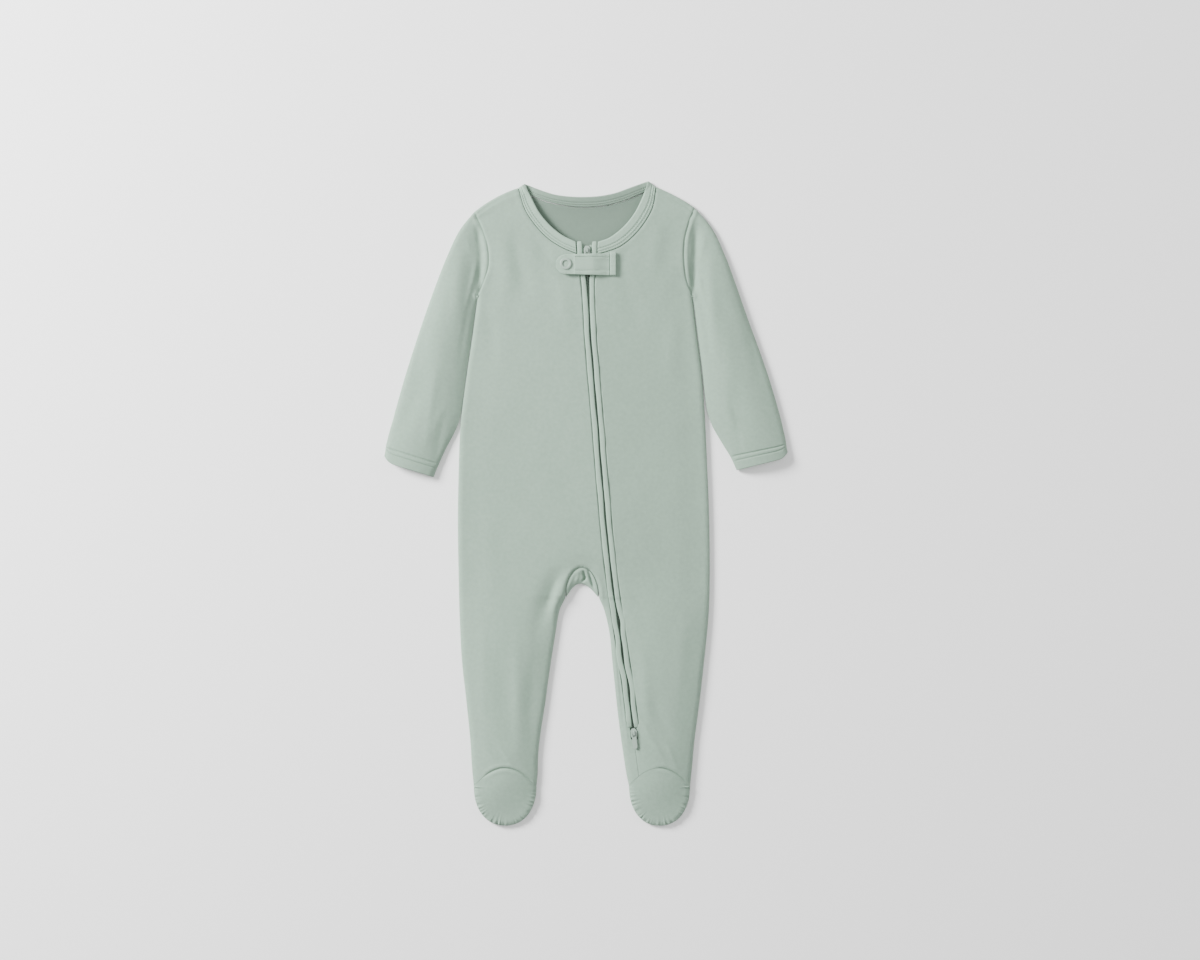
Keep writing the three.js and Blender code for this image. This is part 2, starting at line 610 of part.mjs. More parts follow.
// Share across the left leg where the slot beside the zip begins, on one row
function zipShare(row, sign) {
  let t = 0.7;
  for (let i = 0; i < 8; i++) {
    const y = lerp(row.side, row.middle, capBend(t));
    t = (zipX(y) + sign * slotHalf(y) - bodyEdge.left(y)) / (inseam.left(y) - bodyEdge.left(y));
  }
  return t;
}

// Plan points between four edges, at given shares across (us) and down (vs)
function between(top, bottom, start, end, us, vs) {
  return vs.map((v, i) => us.map((u, j) => [0, 1].map((k) => {
    const across = (1 - v) * top[j][k] + v * bottom[j][k];
    const down = (1 - u) * start[i][k] + u * end[i][k];
    const corners = (1 - u) * (1 - v) * top[0][k] + u * (1 - v) * top.at(-1)[k]
      + (1 - u) * v * bottom[0][k] + u * v * bottom.at(-1)[k];
    return across + down - corners;
  })));
}

const onto = (layer, rows) => rows.map((row) => row.map(layer));
const shares = (list, from, to) => list.map((s) => lerp(from, to, s));

function topRow(side) {
  const neck = NECK_AT[side];
  return COLUMNS[side].map((u) => (u <= neck
    ? shoulder[side](1 - u / neck)
    : neckSeam[side]((u - neck) / (1 - neck))));
}

// A front panel from the shoulder down to the underarm
function frontUpper(side) {
  const sign = side === "right" ? -1 : 1;
  const columns = COLUMNS[side];
  const top = topRow(side);
  const y = TORSO_YS[0];
  const zipEnd = (v) => {
    const down = lerp(top.at(-1)[1], y, v);
    return [zipX(down) + sign * slotHalf(down), down];
  };
  const bottom = columns.map((u) => [lerp(bodyEdge[side](y), zipEnd(1)[0], u), y]);
  top[top.length - 1] = zipEnd(0);
  const down = ARMHOLE_SHARES;
  return between(top, bottom, down.map(armhole[side]), down.map(zipEnd), columns, down);
}

// Left panel: one strip of rows from the shoulder to the toe cap
function frontLeft() {
  const columns = COLUMNS.left;
  const torsoRow = (y) => columns.map((u) => [lerp(bodyEdge.left(y), zipX(y) + slotHalf(y), u), y]);
  const rows = [...frontUpper("left"), ...[...TORSO_YS.slice(1), ...ARCH_YS].map(torsoRow)];
  for (const row of LEG_ROWS) {
    const end = zipShare(row, 1);
    rows.push(columns.map((u) => legPoint("left", row, u * end, capBend)));
  }
  return wall([onto(front, rows)]);
}

// Right panel: the torso's right half, the right leg, and a strip between inseam and zip on the left leg
function frontRight() {
  const rightOf = (y) => zipX(y) - slotHalf(y);
  const upper = frontUpper("right");
  const leg = upper.map((row) => row.slice(0, SPLIT_COLUMN + 1));
  const strip = upper.map((row) => row.slice(SPLIT_COLUMN));
  const addRow = (y, legEnd, stripStart) => {
    leg.push(RIGHT_LEG_SHARES.map((s) => [lerp(bodyEdge.right(y), legEnd, s), y]));
    strip.push(STRIP_SHARES.map((s) => [lerp(stripStart, rightOf(y), s), y]));
  };
  for (const y of [...TORSO_YS.slice(1), CROTCH_TOP]) {
    const straight = lerp(bodyEdge.right(y), rightOf(y), RIGHT_SPLIT);
    const middle = lerp(GUSSET.x, straight, smooth(CROTCH_TOP, TORSO_YS[0], y));
    addRow(y, middle, middle);
  }
  for (const angle of ARCH_ANGLES.slice(1)) {
    const [x, y] = gussetSeam(angle);
    addRow(y, 2 * GUSSET.x - x, x);
  }
  for (const row of LEG_ROWS) {
    leg.push(RIGHT_LEG_SHARES.map((t) => legPoint("right", row, t, capBend)));
    const start = zipShare(row, -1);
    strip.push(STRIP_SHARES.map((s) => legPoint("left", row, lerp(1, start, s), capBend)));
  }
  return wall([onto(front, leg), onto(front, strip)]);
}

// Back panel: both halves from the shoulders to the heels, parted below by the gusset
function backPanel() {
  const y0 = TORSO_YS[0];
  const neckAt = (u) => (u - BACK_NECK) / (1 - BACK_NECK) / 2;
  const halfway = (y) => (bodyEdge.right(y) + bodyEdge.left(y)) / 2;
  const middleAt = (y) => lerp(GUSSET.x, halfway(y), smooth(CROTCH_TOP, y0, y));
  const half = (side) => {
    const top = BACK_HALF.map((u) => {
      if (u <= BACK_NECK) return shoulder[side](1 - u / BACK_NECK);
      return backNeckSeam(side === "right" ? neckAt(u) : 1 - neckAt(u));
    });
    const straight = (y) => BACK_HALF.map((u) => [lerp(bodyEdge[side](y), middleAt(y), u), y]);
    const down = ARMHOLE_SHARES;
    const centre = down.map((v) => mix(top.at(-1), [middleAt(y0), y0], v));
    const rows = between(top, straight(y0), down.map(armhole[side]), centre, BACK_HALF, down);
    for (const y of [...TORSO_YS.slice(1), CROTCH_TOP]) rows.push(straight(y));
    for (const angle of ARCH_ANGLES.slice(1)) {
      const [x, y] = gussetSeam(angle);
      const end = side === "left" ? x : 2 * GUSSET.x - x;
      rows.push(BACK_HALF.map((s) => [lerp(bodyEdge[side](y), end, s), y]));
    }
    for (const row of BACK_LEG_ROWS) rows.push(BACK_HALF.map((t) => legPoint(side, row, t, heelBend)));
    return rows;
  };
  return wall([onto(back, half("right")), onto(back, half("left"))]);
}

// Moves a row of plan points sideways, to leave the seam's gap
function beside(points, distance) {
  return points.map((p, i) => {
    const a = points[Math.max(0, i - 1)];
    const b = points[Math.min(points.length - 1, i + 1)];
    const length = Math.hypot(b[0] - a[0], b[1] - a[1]) || 1;
    return [p[0] + ((b[1] - a[1]) / length) * distance, p[1] - ((b[0] - a[0]) / length) * distance];
  });
}

// Sleeve: a flattened tube. Sections start bowed like the armhole and straighten out.
const LAST_SECTION = SLEEVES.right.length - 1;
const SECTIONS = [...samples(0, LAST_SECTION, LAST_SECTION), HEM_SECTION - HEM_FOLD].sort((a, b) => a - b);
const isHem = (s) => s > HEM_SECTION - HEM_FOLD / 2;
function sleeve(side) {
  const sign = side === "right" ? -1 : 1;
  const seam = beside(ARMHOLE_SHARES.map(armhole[side]), -sign * SEAM_GAP);
  const outerEdge = curveByNumber(sleeveOuter[side]);
  const innerEdge = curveByNumber(sleeveInner[side]);
  const along = new THREE.Vector2(sign * HEM_CORNER.x, HEM_CORNER.y);
  const plan = (s, w, j) => {
    if (s === 0) return seam[j];
    const chord = mix(outerEdge(s), innerEdge(s), w);
    const straight = mix(seam[0], seam.at(-1), w);
    const bow = (1 - clamp01(s / (LAST_SECTION * BOW_LENGTH))) ** 2;
    const corner = (1 - clamp01(w / HEM_CORNER.share)) ** 2 * smooth(HEM_SECTION - 0.5, LAST_SECTION, s);
    return [
      chord[0] + bow * (seam[j][0] - straight[0]) - along.x * corner,
      chord[1] + bow * (seam[j][1] - straight[1]) + along.y * corner,
    ];
  };
  const outline = sleeveOutline[side];
  const grid = SECTIONS.map((s) => {
    const rise = SLEEVE_CROWN * smooth(0, CROWN_SECTION, s);
    const step = isHem(s) ? HEM_STEP : 0;
    const thickness = isHem(s) ? HEM_WALL : CLOTH;
    const row = (layer) => ARMHOLE_SHARES.map((w, j) => ({ ...layer(plan(s, w, j), w), wall: thickness }));
    const upper = row((p, w) => {
      const crown = (_, distance) => rise * 4 * w * (1 - w) + step * smooth(0, FRONT_ROLL.width, distance);
      return upperPoint(p, outline, crown, SLEEVE_FOLDS);
    });
    const lower = row((p) => lowerPoint(p, outline));
    return [...upper, ...lower.reverse()];
  });
  return wall([grid], { ring: true });
}

// Toe cap and sole: rings between the middle of the piece and its outline
const RING_SHARES = [0, 0.45, 0.76, 0.9, 0.965, 0.99, 1];
function fromMiddle(outline, middle, layer) {
  const rows = RING_SHARES.map((r) => outline.map((p) => layer(mix(middle, p, r))));
  return wall([rows], { ring: true });
}

const TOE_POINTS = 14;
const toeArc = (side) => samples(0, Math.PI, TOE_POINTS).slice(1, -1).map((angle) => toeEdge(side, angle));
const footMiddle = (side, y) => [(bodyEdge[side](FOOT.y) + inseam[side](FOOT.y)) / 2, y];

function toeCap(side) {
  const row = LEG_ROWS.at(-1);
  const list = side === "right"
    ? RIGHT_LEG_SHARES
    : [...shares(COLUMNS.left, 0, zipShare(row, 1)), ...shares(STRIP_SHARES, 1, zipShare(row, -1)).reverse()];
  const arc = list.map((t) => legPoint(side, row, t, capBend)).map(([x, y]) => [x, y - SEAM_GAP]);
  return fromMiddle([...arc, ...toeArc(side)], footMiddle(side, FOOT.y - FOOT.capRise / 2), front);
}

function sole(side) {
  const row = BACK_LEG_ROWS.at(-1);
  const sign = side === "right" ? 1 : -1;
  const heel = beside(BACK_HALF.map((t) => legPoint(side, row, t, heelBend)), sign * TURNING_GAP);
  for (const end of [heel[0], heel.at(-1)]) end[1] -= SEAM_GAP;
  return fromMiddle([...heel, ...toeArc(side)], footMiddle(side, FOOT.y + FOOT.heelRise / 4), back);
}

// Gusset: from the front seam over the crotch's edge to the back seam
function gusset() {
  const half = ARCH_ANGLES.slice(0, -1);
  const angles = [...half, ...half.slice(1).map((angle) => Math.PI - angle)].sort((a, b) => a - b);
  const steps = [0, 0.3, 0.55, 0.75, 0.9, 0.975, 1];
  const rows = angles.map((angle) => {
    const edge = crotchEdge(Math.min(Math.PI - GUSSET.tip, Math.max(GUSSET.tip, angle)));
    const seam = gussetSeam(angle);
    const { halfWidth, seamRise } = GUSSET;
    const inwards = new THREE.Vector2(-Math.cos(angle) / halfWidth, -Math.sin(angle) / seamRise);
    inwards.setLength(lerp(TURNING_GAP, SEAM_GAP, Math.sin(angle)));
    const start = [seam[0] + inwards.x, seam[1] + inwards.y];
    const over = steps.map((s) => front(mix(start, edge, s)));
    const under = steps.map((s) => back(mix(start, edge, s)));
    return [...over, ...under.reverse()];
  });
  return wall([rows]);
}

// Neck binding: one folded strip from the zip round the back of the neck to the zip again
function neckBinding() {
  const rings = [];
  const section = [
    [0, 1], [0.4, 1], [0.82, 1], [0.97, 0.72], [1, 0.45], [0.97, 0.2], [0.82, 0], [0.4, 0], [0, 0],
  ];
  const addRing = (seam, free, layer, step) => {
    rings.push(section.map(([w, h]) => {
      const { at, normal } = layer(mix(seam, free, w));
      return at.clone().addScaledVector(normal, lerp(step - BINDING_WALL, step, h));
    }));
  };
  const addFront = (side, list) => {
    const sign = side === "right" ? 1 : -1;
    for (const s of list) {
      const seam = besideAt(neckSeam[side], s, sign * TURNING_GAP);
      addRing(seam, neckFreeEdge[side](s), front, BINDING_STEP * smooth(0, 0.1, s));
    }
  };
  addFront("right", [...neckShares("right")].reverse());
  const halfBack = [0, ...BACK_NECK_SHARES];
  for (const s of [...halfBack, ...mirrored(halfBack).slice(1)])
    addRing(besideAt(backNeckSeam, s, TURNING_GAP), backNeckFreeEdge(s), back, 0);
  addFront("left", neckShares("left"));
  return loft(rings);
}

// The point of a curve at a share of its length, moved to its left by a distance
function besideAt(path, s, distance) {
  const a = path(Math.max(0, s - 0.01));
  const b = path(Math.min(1, s + 0.01));
  const [x, y] = path(s);
  const length = Math.hypot(b[0] - a[0], b[1] - a[1]) || 1;
  return [x - ((b[1] - a[1]) / length) * distance, y + ((b[0] - a[0]) / length) * distance];
}

// Rows down the zip, for the strips beside it
const ZIP_YS = [
  238, 230, 222, 214, 206, 197, 186, 170, 146, 120, 92, 62, 30, 0,
  -30, -55, -78, -98, -120, -142, -164, -186, -203,
];
const zipRows = (from, to) => [from, ...ZIP_YS.filter((y) => y < from - 1 && y > to + 1), to];

// A strip along the zip. Heights are measured from the outside of the cloth at heightOf.
function zipStrip({ from, to, middleOf, half, top, bottom, heightOf, rounded = false }) {
  const section = rounded
    ? [[-1, 0.25], [-0.85, 0.7], [-0.4, 1], [0.4, 1], [0.85, 0.7], [1, 0.25], [0.8, 0], [-0.8, 0]]
    : [[-1, 1], [1, 1], [1, 0], [-1, 0]];
  return loft(zipRows(from, to).map((y) => {
    const surface = heightOf(y);
    const middle = middleOf(y);
    return section.map(([w, h]) => new THREE.Vector3(middle + w * half, y, surface + lerp(bottom, top, h)));
  }));
}

function welt(side) {
  const sign = side === "right" ? -1 : 1;
  const middleOf = (y) => zipX(y) + sign * weltOffset(y);
  return zipStrip({
    from: WELT.top, to: WELT.bottom, middleOf, half: WELT.width / 2, top: WELT.above, bottom: -WELT.below,
    heightOf: (y) => frontHeight([middleOf(y), Math.min(y, ZIP_TOP)]), rounded: true,
  });
}

// Tapes and teeth lie under the lower side of the zip
function lowerSide(y) {
  const besideZip = (sign) => frontHeight([zipX(y) + sign * TAPE.outer, Math.min(y, ZIP_TOP)]);
  return Math.min(besideZip(-1), besideZip(1));
}
function zipTape(side) {
  const sign = side === "right" ? -1 : 1;
  return zipStrip({
    from: TAPE.from, to: TAPE.to, middleOf: (y) => zipX(y) + (sign * (TAPE.inner + TAPE.outer)) / 2,
    half: (TAPE.outer - TAPE.inner) / 2, top: -TAPE.top, bottom: -TAPE.top - TAPE.wall, heightOf: lowerSide,
  });
}

function zipChain() {
  return zipStrip({
    from: CHAIN.from, to: CHAIN.to, middleOf: zipX, half: CHAIN.half, top: -CHAIN.top,
    bottom: -CHAIN.top - CHAIN.wall, heightOf: lowerSide,
  });
}

// Tab over the upper slider, lifted by the snap and the slider and coming down to its sewn end
const tabBase = frontHeight([zipX(TAB.y) - slotHalf(TAB.y) - 1, TAB.y]);
const TAB_SECTION = [
  [-1, 0.3], [-0.93, 0.8], [-0.7, 1], [0.7, 1], [0.93, 0.8], [1, 0.3], [0.9, 0], [-0.9, 0],
];
function tabStrap() {
  const { roundX, roundRadius, rampFrom, rampTo } = TAB;
  const round = samples(Math.PI, Math.PI / 2, 6).map((angle) => roundX + roundRadius * Math.cos(angle));
  const level = samples(roundX, rampFrom, 4).slice(1);
  const ramp = samples(rampFrom, rampTo, 3).slice(1);
  const xs = [...round, ...level, ...ramp, TAB.endX];
  const halfAt = (x) => (x < TAB.roundX
    ? Math.max(TAB.roundTip, Math.sqrt(Math.max(0, roundRadius ** 2 - (x - roundX) ** 2)))
    : lerp(roundRadius, TAB.halfAtEnd, (x - roundX) / (TAB.endX - roundX)));
  return loft(xs.map((x) => {
    const base = tabBase + lerp(TAB.lift, SEAM_GAP, smooth(rampFrom, rampTo, x));
    return TAB_SECTION.map(([w, h]) => new THREE.Vector3(x, TAB.y - w * halfAt(x), base + h * TAB.wall));
  }));
}

function tabEnd() {
  const middle = (TAB_END.from + TAB_END.to) / 2;
  const half = (TAB_END.to - TAB_END.from) / 2;
  return loft(samples(-TAB_END.half, TAB_END.half, 4).map((dy) => TAB_SECTION.map(([w, h]) =>
    new THREE.Vector3(middle + w * half, TAB_END.y + dy, tabBase + SEAM_GAP + h * TAB_END.wall))));
}

// Ring of the snap on the tab, and the stud between tab and front panel
function snapRing() {
  const half = (SNAP.outer - SNAP.inner) / 2;
  const middle = (SNAP.outer + SNAP.inner) / 2;
  const profile = [[-1, 0], [1, 0], [0.9, 0.6], [0.5, 1], [-0.5, 1], [-0.9, 0.6], [-1, 0]]
    .map(([r, h]) => new THREE.Vector2(middle + r * half, h * SNAP.ring));
  return new THREE.LatheGeometry(profile, 28).rotateX(Math.PI / 2)
    .translate(SNAP.x, SNAP.y, tabBase + TAB.lift + TAB.wall + SEAM_GAP);
}

function snapStud() {
  const bottom = frontHeight([SNAP.x, SNAP.y]) + SEAM_GAP;
  const top = tabBase + TAB.lift - SEAM_GAP;
  return new THREE.CylinderGeometry(SNAP.studTop, SNAP.studBase, top - bottom, 24)
    .rotateX(Math.PI / 2).translate(SNAP.x, SNAP.y, (top + bottom) / 2);
}

// Slider body with the bridge that holds the pull, in its own frame: +Y up the zip, Z from the cloth
function sliderBody(below) {
  const half = { x: SLIDER.width / 2, y: SLIDER.length / 2 };
  const { nose, noseLength, corner } = SLIDER;
  const outline = new THREE.Shape([
    [-half.x, corner - half.y], [-half.x, half.y - noseLength],
    [nose - half.x, half.y], [half.x - nose, half.y],
    [half.x, half.y - noseLength], [half.x, corner - half.y],
    [half.x - corner, -half.y], [corner - half.x, -half.y],
  ].map(([x, y]) => new THREE.Vector2(x, y)));
  const body = new THREE.ExtrudeGeometry(outline, { depth: below + SLIDER.above, bevelEnabled: false })
    .translate(0, 0, -below);
  const eyeHalf = SLIDER.eyeLength / 2;
  const archHalf = eyeHalf + SLIDER.bar;
  const top = SLIDER.eyeHeight + SLIDER.bar;
  const arch = new THREE.Shape([
    [-archHalf, -SLIDER.sunk], [archHalf, -SLIDER.sunk], [archHalf, top - SLIDER.chamfer],
    [archHalf - SLIDER.chamfer, top], [SLIDER.chamfer - archHalf, top], [-archHalf, top - SLIDER.chamfer],
  ].map(([x, y]) => new THREE.Vector2(x, y)));
  arch.holes.push(new THREE.Path([
    [-eyeHalf, SLIDER.eyeFoot], [-eyeHalf, SLIDER.eyeHeight],
    [eyeHalf, SLIDER.eyeHeight], [eyeHalf, SLIDER.eyeFoot],
  ].map(([x, y]) => new THREE.Vector2(x, y))));
  const bridge = new THREE.ExtrudeGeometry(arch, { depth: SLIDER.bridge, bevelEnabled: false })
    .translate(0, 0, -SLIDER.bridge / 2)
    .rotateX(Math.PI / 2)
    .rotateZ(Math.PI / 2)
    .translate(0, 0, SLIDER.above);
  return joined(body, bridge);
}

// Pull in the frame of its hinge: it hangs towards -Y, with a window that goes round the slider's bridge
function pullPlate() {
  const { length, width, pin, window: gap, windowLength, rail, flare } = PULL;
  const neck = gap / 2 + rail;
  const shoulderY = -windowLength - pin;
  const roundY = width / 2 - length;
  const shape = new THREE.Shape();
  shape.moveTo(-neck, pin / 2);
  shape.lineTo(-neck, shoulderY);
  shape.lineTo(-width / 2, shoulderY - flare);
  shape.lineTo(-width / 2, roundY);
  shape.absarc(0, roundY, width / 2, Math.PI, 2 * Math.PI, false);
  shape.lineTo(width / 2, shoulderY - flare);
  shape.lineTo(neck, shoulderY);
  shape.lineTo(neck, pin / 2);
  shape.holes.push(new THREE.Path([
    [-gap / 2, -pin / 2], [gap / 2, -pin / 2], [gap / 2, shoulderY + rail], [-gap / 2, shoulderY + rail],
  ].map(([x, y]) => new THREE.Vector2(x, y))));
  return new THREE.ExtrudeGeometry(shape, { depth: PULL.wall, bevelEnabled: false, curveSegments: 6 })
    .translate(0, 0, -PULL.wall / 2);
}

const sleepsuit = new THREE.Group();
function add(name, geometry, material, parent = sleepsuit) {
  geometry.computeVertexNormals();
  const mesh = new THREE.Mesh(geometry, material);
  mesh.name = name;
  parent.add(mesh);
  return mesh;
}

// A slider stands on the highest cloth that its pull lies over, in line with the zip
function addSlider(which, y) {
  const under = [0, -PULL.length / 2, -PULL.length].flatMap((dy) => [-1, 1]
    .map((sign) => frontHeight([zipX(y + dy) + (sign * PULL.width) / 2, y + dy])));
  const height = Math.max(...under);
  const group = new THREE.Group();
  group.position.set(zipX(y), y, height);
  group.rotation.z = -Math.atan2(zipX(y + SLIDER.length) - zipX(y - SLIDER.length), 2 * SLIDER.length);
  const below = height - (lowerSide(y) - CHAIN.top) - SEAM_GAP;
  add(`zip_slider_${which}`, sliderBody(below), PAINTED, group);
  const pull = add(`zip_pull_${which}`, pullPlate(), PAINTED, group);
  pull.position.z = SLIDER.above + SEAM_GAP + PULL.wall / 2;
  sleepsuit.add(group);
}

add("back_panel", backPanel(), JERSEY);
add("front_panel_right", frontRight(), JERSEY);
add("front_panel_left", frontLeft(), JERSEY);
for (const side of SIDES) {
  add(`sleeve_${side}`, sleeve(side), JERSEY);
  add(`toe_cap_${side}`, toeCap(side), JERSEY);
  add(`sole_${side}`, sole(side), JERSEY);
  add(`zip_welt_${side}`, welt(side), FOLDED);
  add(`zip_tape_${side}`, zipTape(side), TAPE_CLOTH);
}
add("gusset", gusset(), JERSEY);
add("neck_binding", neckBinding(), FOLDED);
add("zip_chain", zipChain(), TAPE_CLOTH);
add("tab_strap", tabStrap(), FOLDED);
add("tab_end", tabEnd(), FOLDED);
add("snap_ring", snapRing(), PAINTED);
add("snap_stud", snapStud(), PAINTED);
addSlider("upper", UPPER_SLIDER_Y);
addSlider("lower", LOWER_SLIDER_Y);

export default sleepsuit;
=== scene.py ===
"""Footed baby sleepsuit in sage jersey, laid flat on its back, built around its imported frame.

Every table is in millimetres: X towards the wearer's left, Y towards the neck, Z up from the table.
"right" and "left" in names are the wearer's own.
"""

import math

import bmesh
import bpy
import numpy as np
from bpy.props import FloatProperty, FloatVectorProperty, IntProperty, PointerProperty
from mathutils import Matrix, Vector


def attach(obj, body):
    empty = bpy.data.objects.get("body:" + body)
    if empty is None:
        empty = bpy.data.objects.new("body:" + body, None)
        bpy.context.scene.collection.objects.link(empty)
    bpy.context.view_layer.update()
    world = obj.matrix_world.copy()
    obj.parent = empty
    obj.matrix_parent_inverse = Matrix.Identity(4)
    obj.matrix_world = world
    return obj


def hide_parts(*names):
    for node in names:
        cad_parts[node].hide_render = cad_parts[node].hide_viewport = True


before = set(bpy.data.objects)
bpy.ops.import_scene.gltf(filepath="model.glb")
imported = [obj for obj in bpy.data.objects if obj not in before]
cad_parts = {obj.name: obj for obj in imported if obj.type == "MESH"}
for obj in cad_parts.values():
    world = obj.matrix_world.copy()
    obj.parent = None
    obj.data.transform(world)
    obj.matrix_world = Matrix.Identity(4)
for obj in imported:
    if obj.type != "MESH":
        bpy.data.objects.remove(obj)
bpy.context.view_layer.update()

bl_info = {
    "name": "Footed baby sleepsuit",
    "version": (1, 0, 0),
    "blender": (4, 5, 0),
    "location": "View3D > Sidebar > Sleepsuit",
    "description": "Builds a zipped jersey sleepsuit with feet, laid flat, around its packed frame",
    "category": "Add Mesh",
}

MM = 0.001
GARMENT = "garment"
PULL_BODY = "lower_pull"
SIDES = ("right", "left")

# Layers and how the flattened cloth rolls over at its edges
SEAM_HEIGHT = 2.6
LAYER_GAP = 0.3
TURNING_GAP = 0.6
FRONT_ROLL_WIDTH, FRONT_ROLL_RISE = 5.0, 2.4
BACK_ROLL_WIDTH = 3.2
TORSO_CROWN, TENT_POWER, LEG_CROWN, SLEEVE_CROWN = 4.2, 1.15, 5.6, 5.0
SILHOUETTE_FADE = 30.0
LEGS_FROM, LEGS_TO = -48.0, -138.0
HEM_STEP = 0.4
BINDING_WALL, BINDING_STEP = 2.0, 0.4
CLOSED_SEAM = 0.03
UNDERARM_Y = 193.0

# y, right edge, left edge of body and legs
BODY_EDGES = np.array([
    (193, -100.4, 98.5), (161, -104.6, 102.3), (120, -110.6, 107.4), (78, -116, 110.5), (40, -118, 112.3),
    (-15, -119, 114.4), (-71, -118.2, 114.9), (-108, -117.2, 113.5), (-146, -115.2, 109.7),
    (-183, -111.1, 105.6), (-220, -107.4, 100.7), (-243, -106, 98.6), (-262, -104.2, 96.6),
])
# y, right and left inner edge of the legs
INSEAMS = np.array([
    (-88, -19.4, 12.4), (-99, -24.6, 17), (-121, -28.4, 22), (-144, -32.1, 24.2), (-166, -35.3, 26.5),
    (-188, -38.3, 28.8), (-211, -41.9, 31.6), (-232, -44.3, 34.6), (-250, -44.9, 37.4), (-262, -46, 40),
])
# y, x of the zip's middle
ZIP_LINE = np.array([
    (250, 0.6), (206, 1.7), (189, 2.4), (145, 5), (84, 10.2), (32, 14.3), (-19, 18.7), (-60, 22.9),
    (-88, 26.6), (-128, 32.6), (-169, 38.8), (-206, 43.6), (-225, 45.6), (-262, 50.5),
])
# y, distance from the zip's middle to each welt's middle
WELT_OFFSET = np.array([(250, 7.1), (240, 7), (226, 6), (206, 3.9), (188, 3.2), (165, 3.1), (-262, 3.1)])
WELT_WIDTH, WELT_TOP, WELT_BOTTOM = 4.8, 243.0, -207.5
ZIP_LEVEL = 236.0
SLIDER_SLOT = {"half": 3.2, "open": -203.0, "start": -208.0, "end": -217.5, "closed": -221.5}

ARMHOLES = {
    "right": [(-103.7, 270.8), (-96.2, 254.9), (-91, 238), (-90.4, 221), (-95, 206), (-100.4, 193)],
    "left": [(100.9, 274.3), (94.8, 258.5), (91.4, 243.8), (90.8, 227.4), (92.9, 209), (98.5, 193)],
}
SHOULDERS = {
    "right": [(-63.2, 293), (-76, 288), (-90.2, 280.4), (-103.7, 270.8)],
    "left": [(65.4, 293.8), (79, 287.6), (92.1, 280.4), (100.9, 274.3)],
}
NECK_TIPS = {"right": (-56.7, 297.2), "left": (57.7, 299.7)}
NECK_SEAMS = {
    "right": [(-63.2, 293), (-56.7, 272.3), (-46.2, 256.7), (-34.5, 244.9), (-21.4, 236.6), (-8.8, 231.4)],
    "left": [(65.4, 293.8), (62.1, 274.9), (55.5, 261.9), (43.8, 247.5), (30.8, 237.6), (10.6, 230.6)],
}
NECK_FREE_EDGES = {
    "right": [(-56.7, 297.2), (-51.4, 285.6), (-43.6, 270.6), (-33.2, 258), (-21.4, 248.6), (-9.6, 242.8)],
    "left": [(57.7, 299.7), (52.4, 284.5), (45.1, 269.7), (34.7, 256.7), (21.7, 246.6), (11.2, 242.6)],
}
BACK_NECK_SEAM = [
    (-63.2, 293), (-47.4, 284.1), (-33.5, 279.3), (-18.8, 276.2), (-5.8, 275),
    (15.1, 275.9), (34.7, 280.6), (49, 286.4), (65.4, 293.8),
]
BACK_NECK_FREE_EDGE = [
    (-56.7, 297.2), (-43.7, 291.6), (-28.8, 286.9), (-14.9, 285), (-0.9, 284.6),
    (13, 285.5), (27, 288.3), (41, 293.4), (57.7, 299.7),
]
# outer x, outer y, inner x, inner y of each sleeve section, from the armhole to the hem
SLEEVES = {
    "right": np.array([
        (-103.7, 270.8, -100.4, 193), (-117.5, 253.5, -101.9, 186), (-129, 229.5, -103.2, 176),
        (-140.2, 201, -105.1, 162), (-150, 173.5, -107.5, 146), (-159, 146.5, -110.3, 127),
        (-168, 118, -113.4, 104), (-175.8, 90.7, -117, 80), (-179.5, 77, -121.3, 68),
        (-183, 65, -130.3, 50.5), (-186.3, 51.5, -136.9, 36), (-188.9, 39.4, -141.6, 24.6),
    ]),
    "left": np.array([
        (100.9, 274.3, 98.5, 193), (117, 255.5, 99.9, 186), (129.3, 230, 101.2, 176),
        (140, 201, 102.9, 162), (149.6, 173.5, 104.9, 146), (159.5, 146.5, 107.4, 127),
        (169.4, 118, 109.9, 104), (177.6, 90.7, 113.2, 84), (181.5, 76, 117.6, 71.5),
        (184.3, 64, 126.8, 55.5), (186.4, 54, 134.4, 43), (188.9, 43, 140, 30.9),
    ]),
}
LAST_SECTION, HEM_SECTION, HEM_FOLD = 11, 10.0, 0.06
HEM_CORNER_SHARE, HEM_CORNER_X, HEM_CORNER_Y = 0.22, 1.75, 4.7
CROWN_SECTION, BOW_LENGTH = 3.5, 0.22

GUSSET_X, GUSSET_Y, GUSSET_HALF, SEAM_RISE, EDGE_RISE = -3.5, -88.0, 15.9, 28.7, 13.7
GUSSET_LEAN, GUSSET_POWER, GUSSET_TIP = -1.6, 2.4, 0.42
FOOT_Y, TOE_POWER, CAP_RISE, HEEL_RISE, INSTEP = -262.0, 2.2, 17.0, 72.0, 8.0
TOE = {"right": 37.0, "left": 37.1}

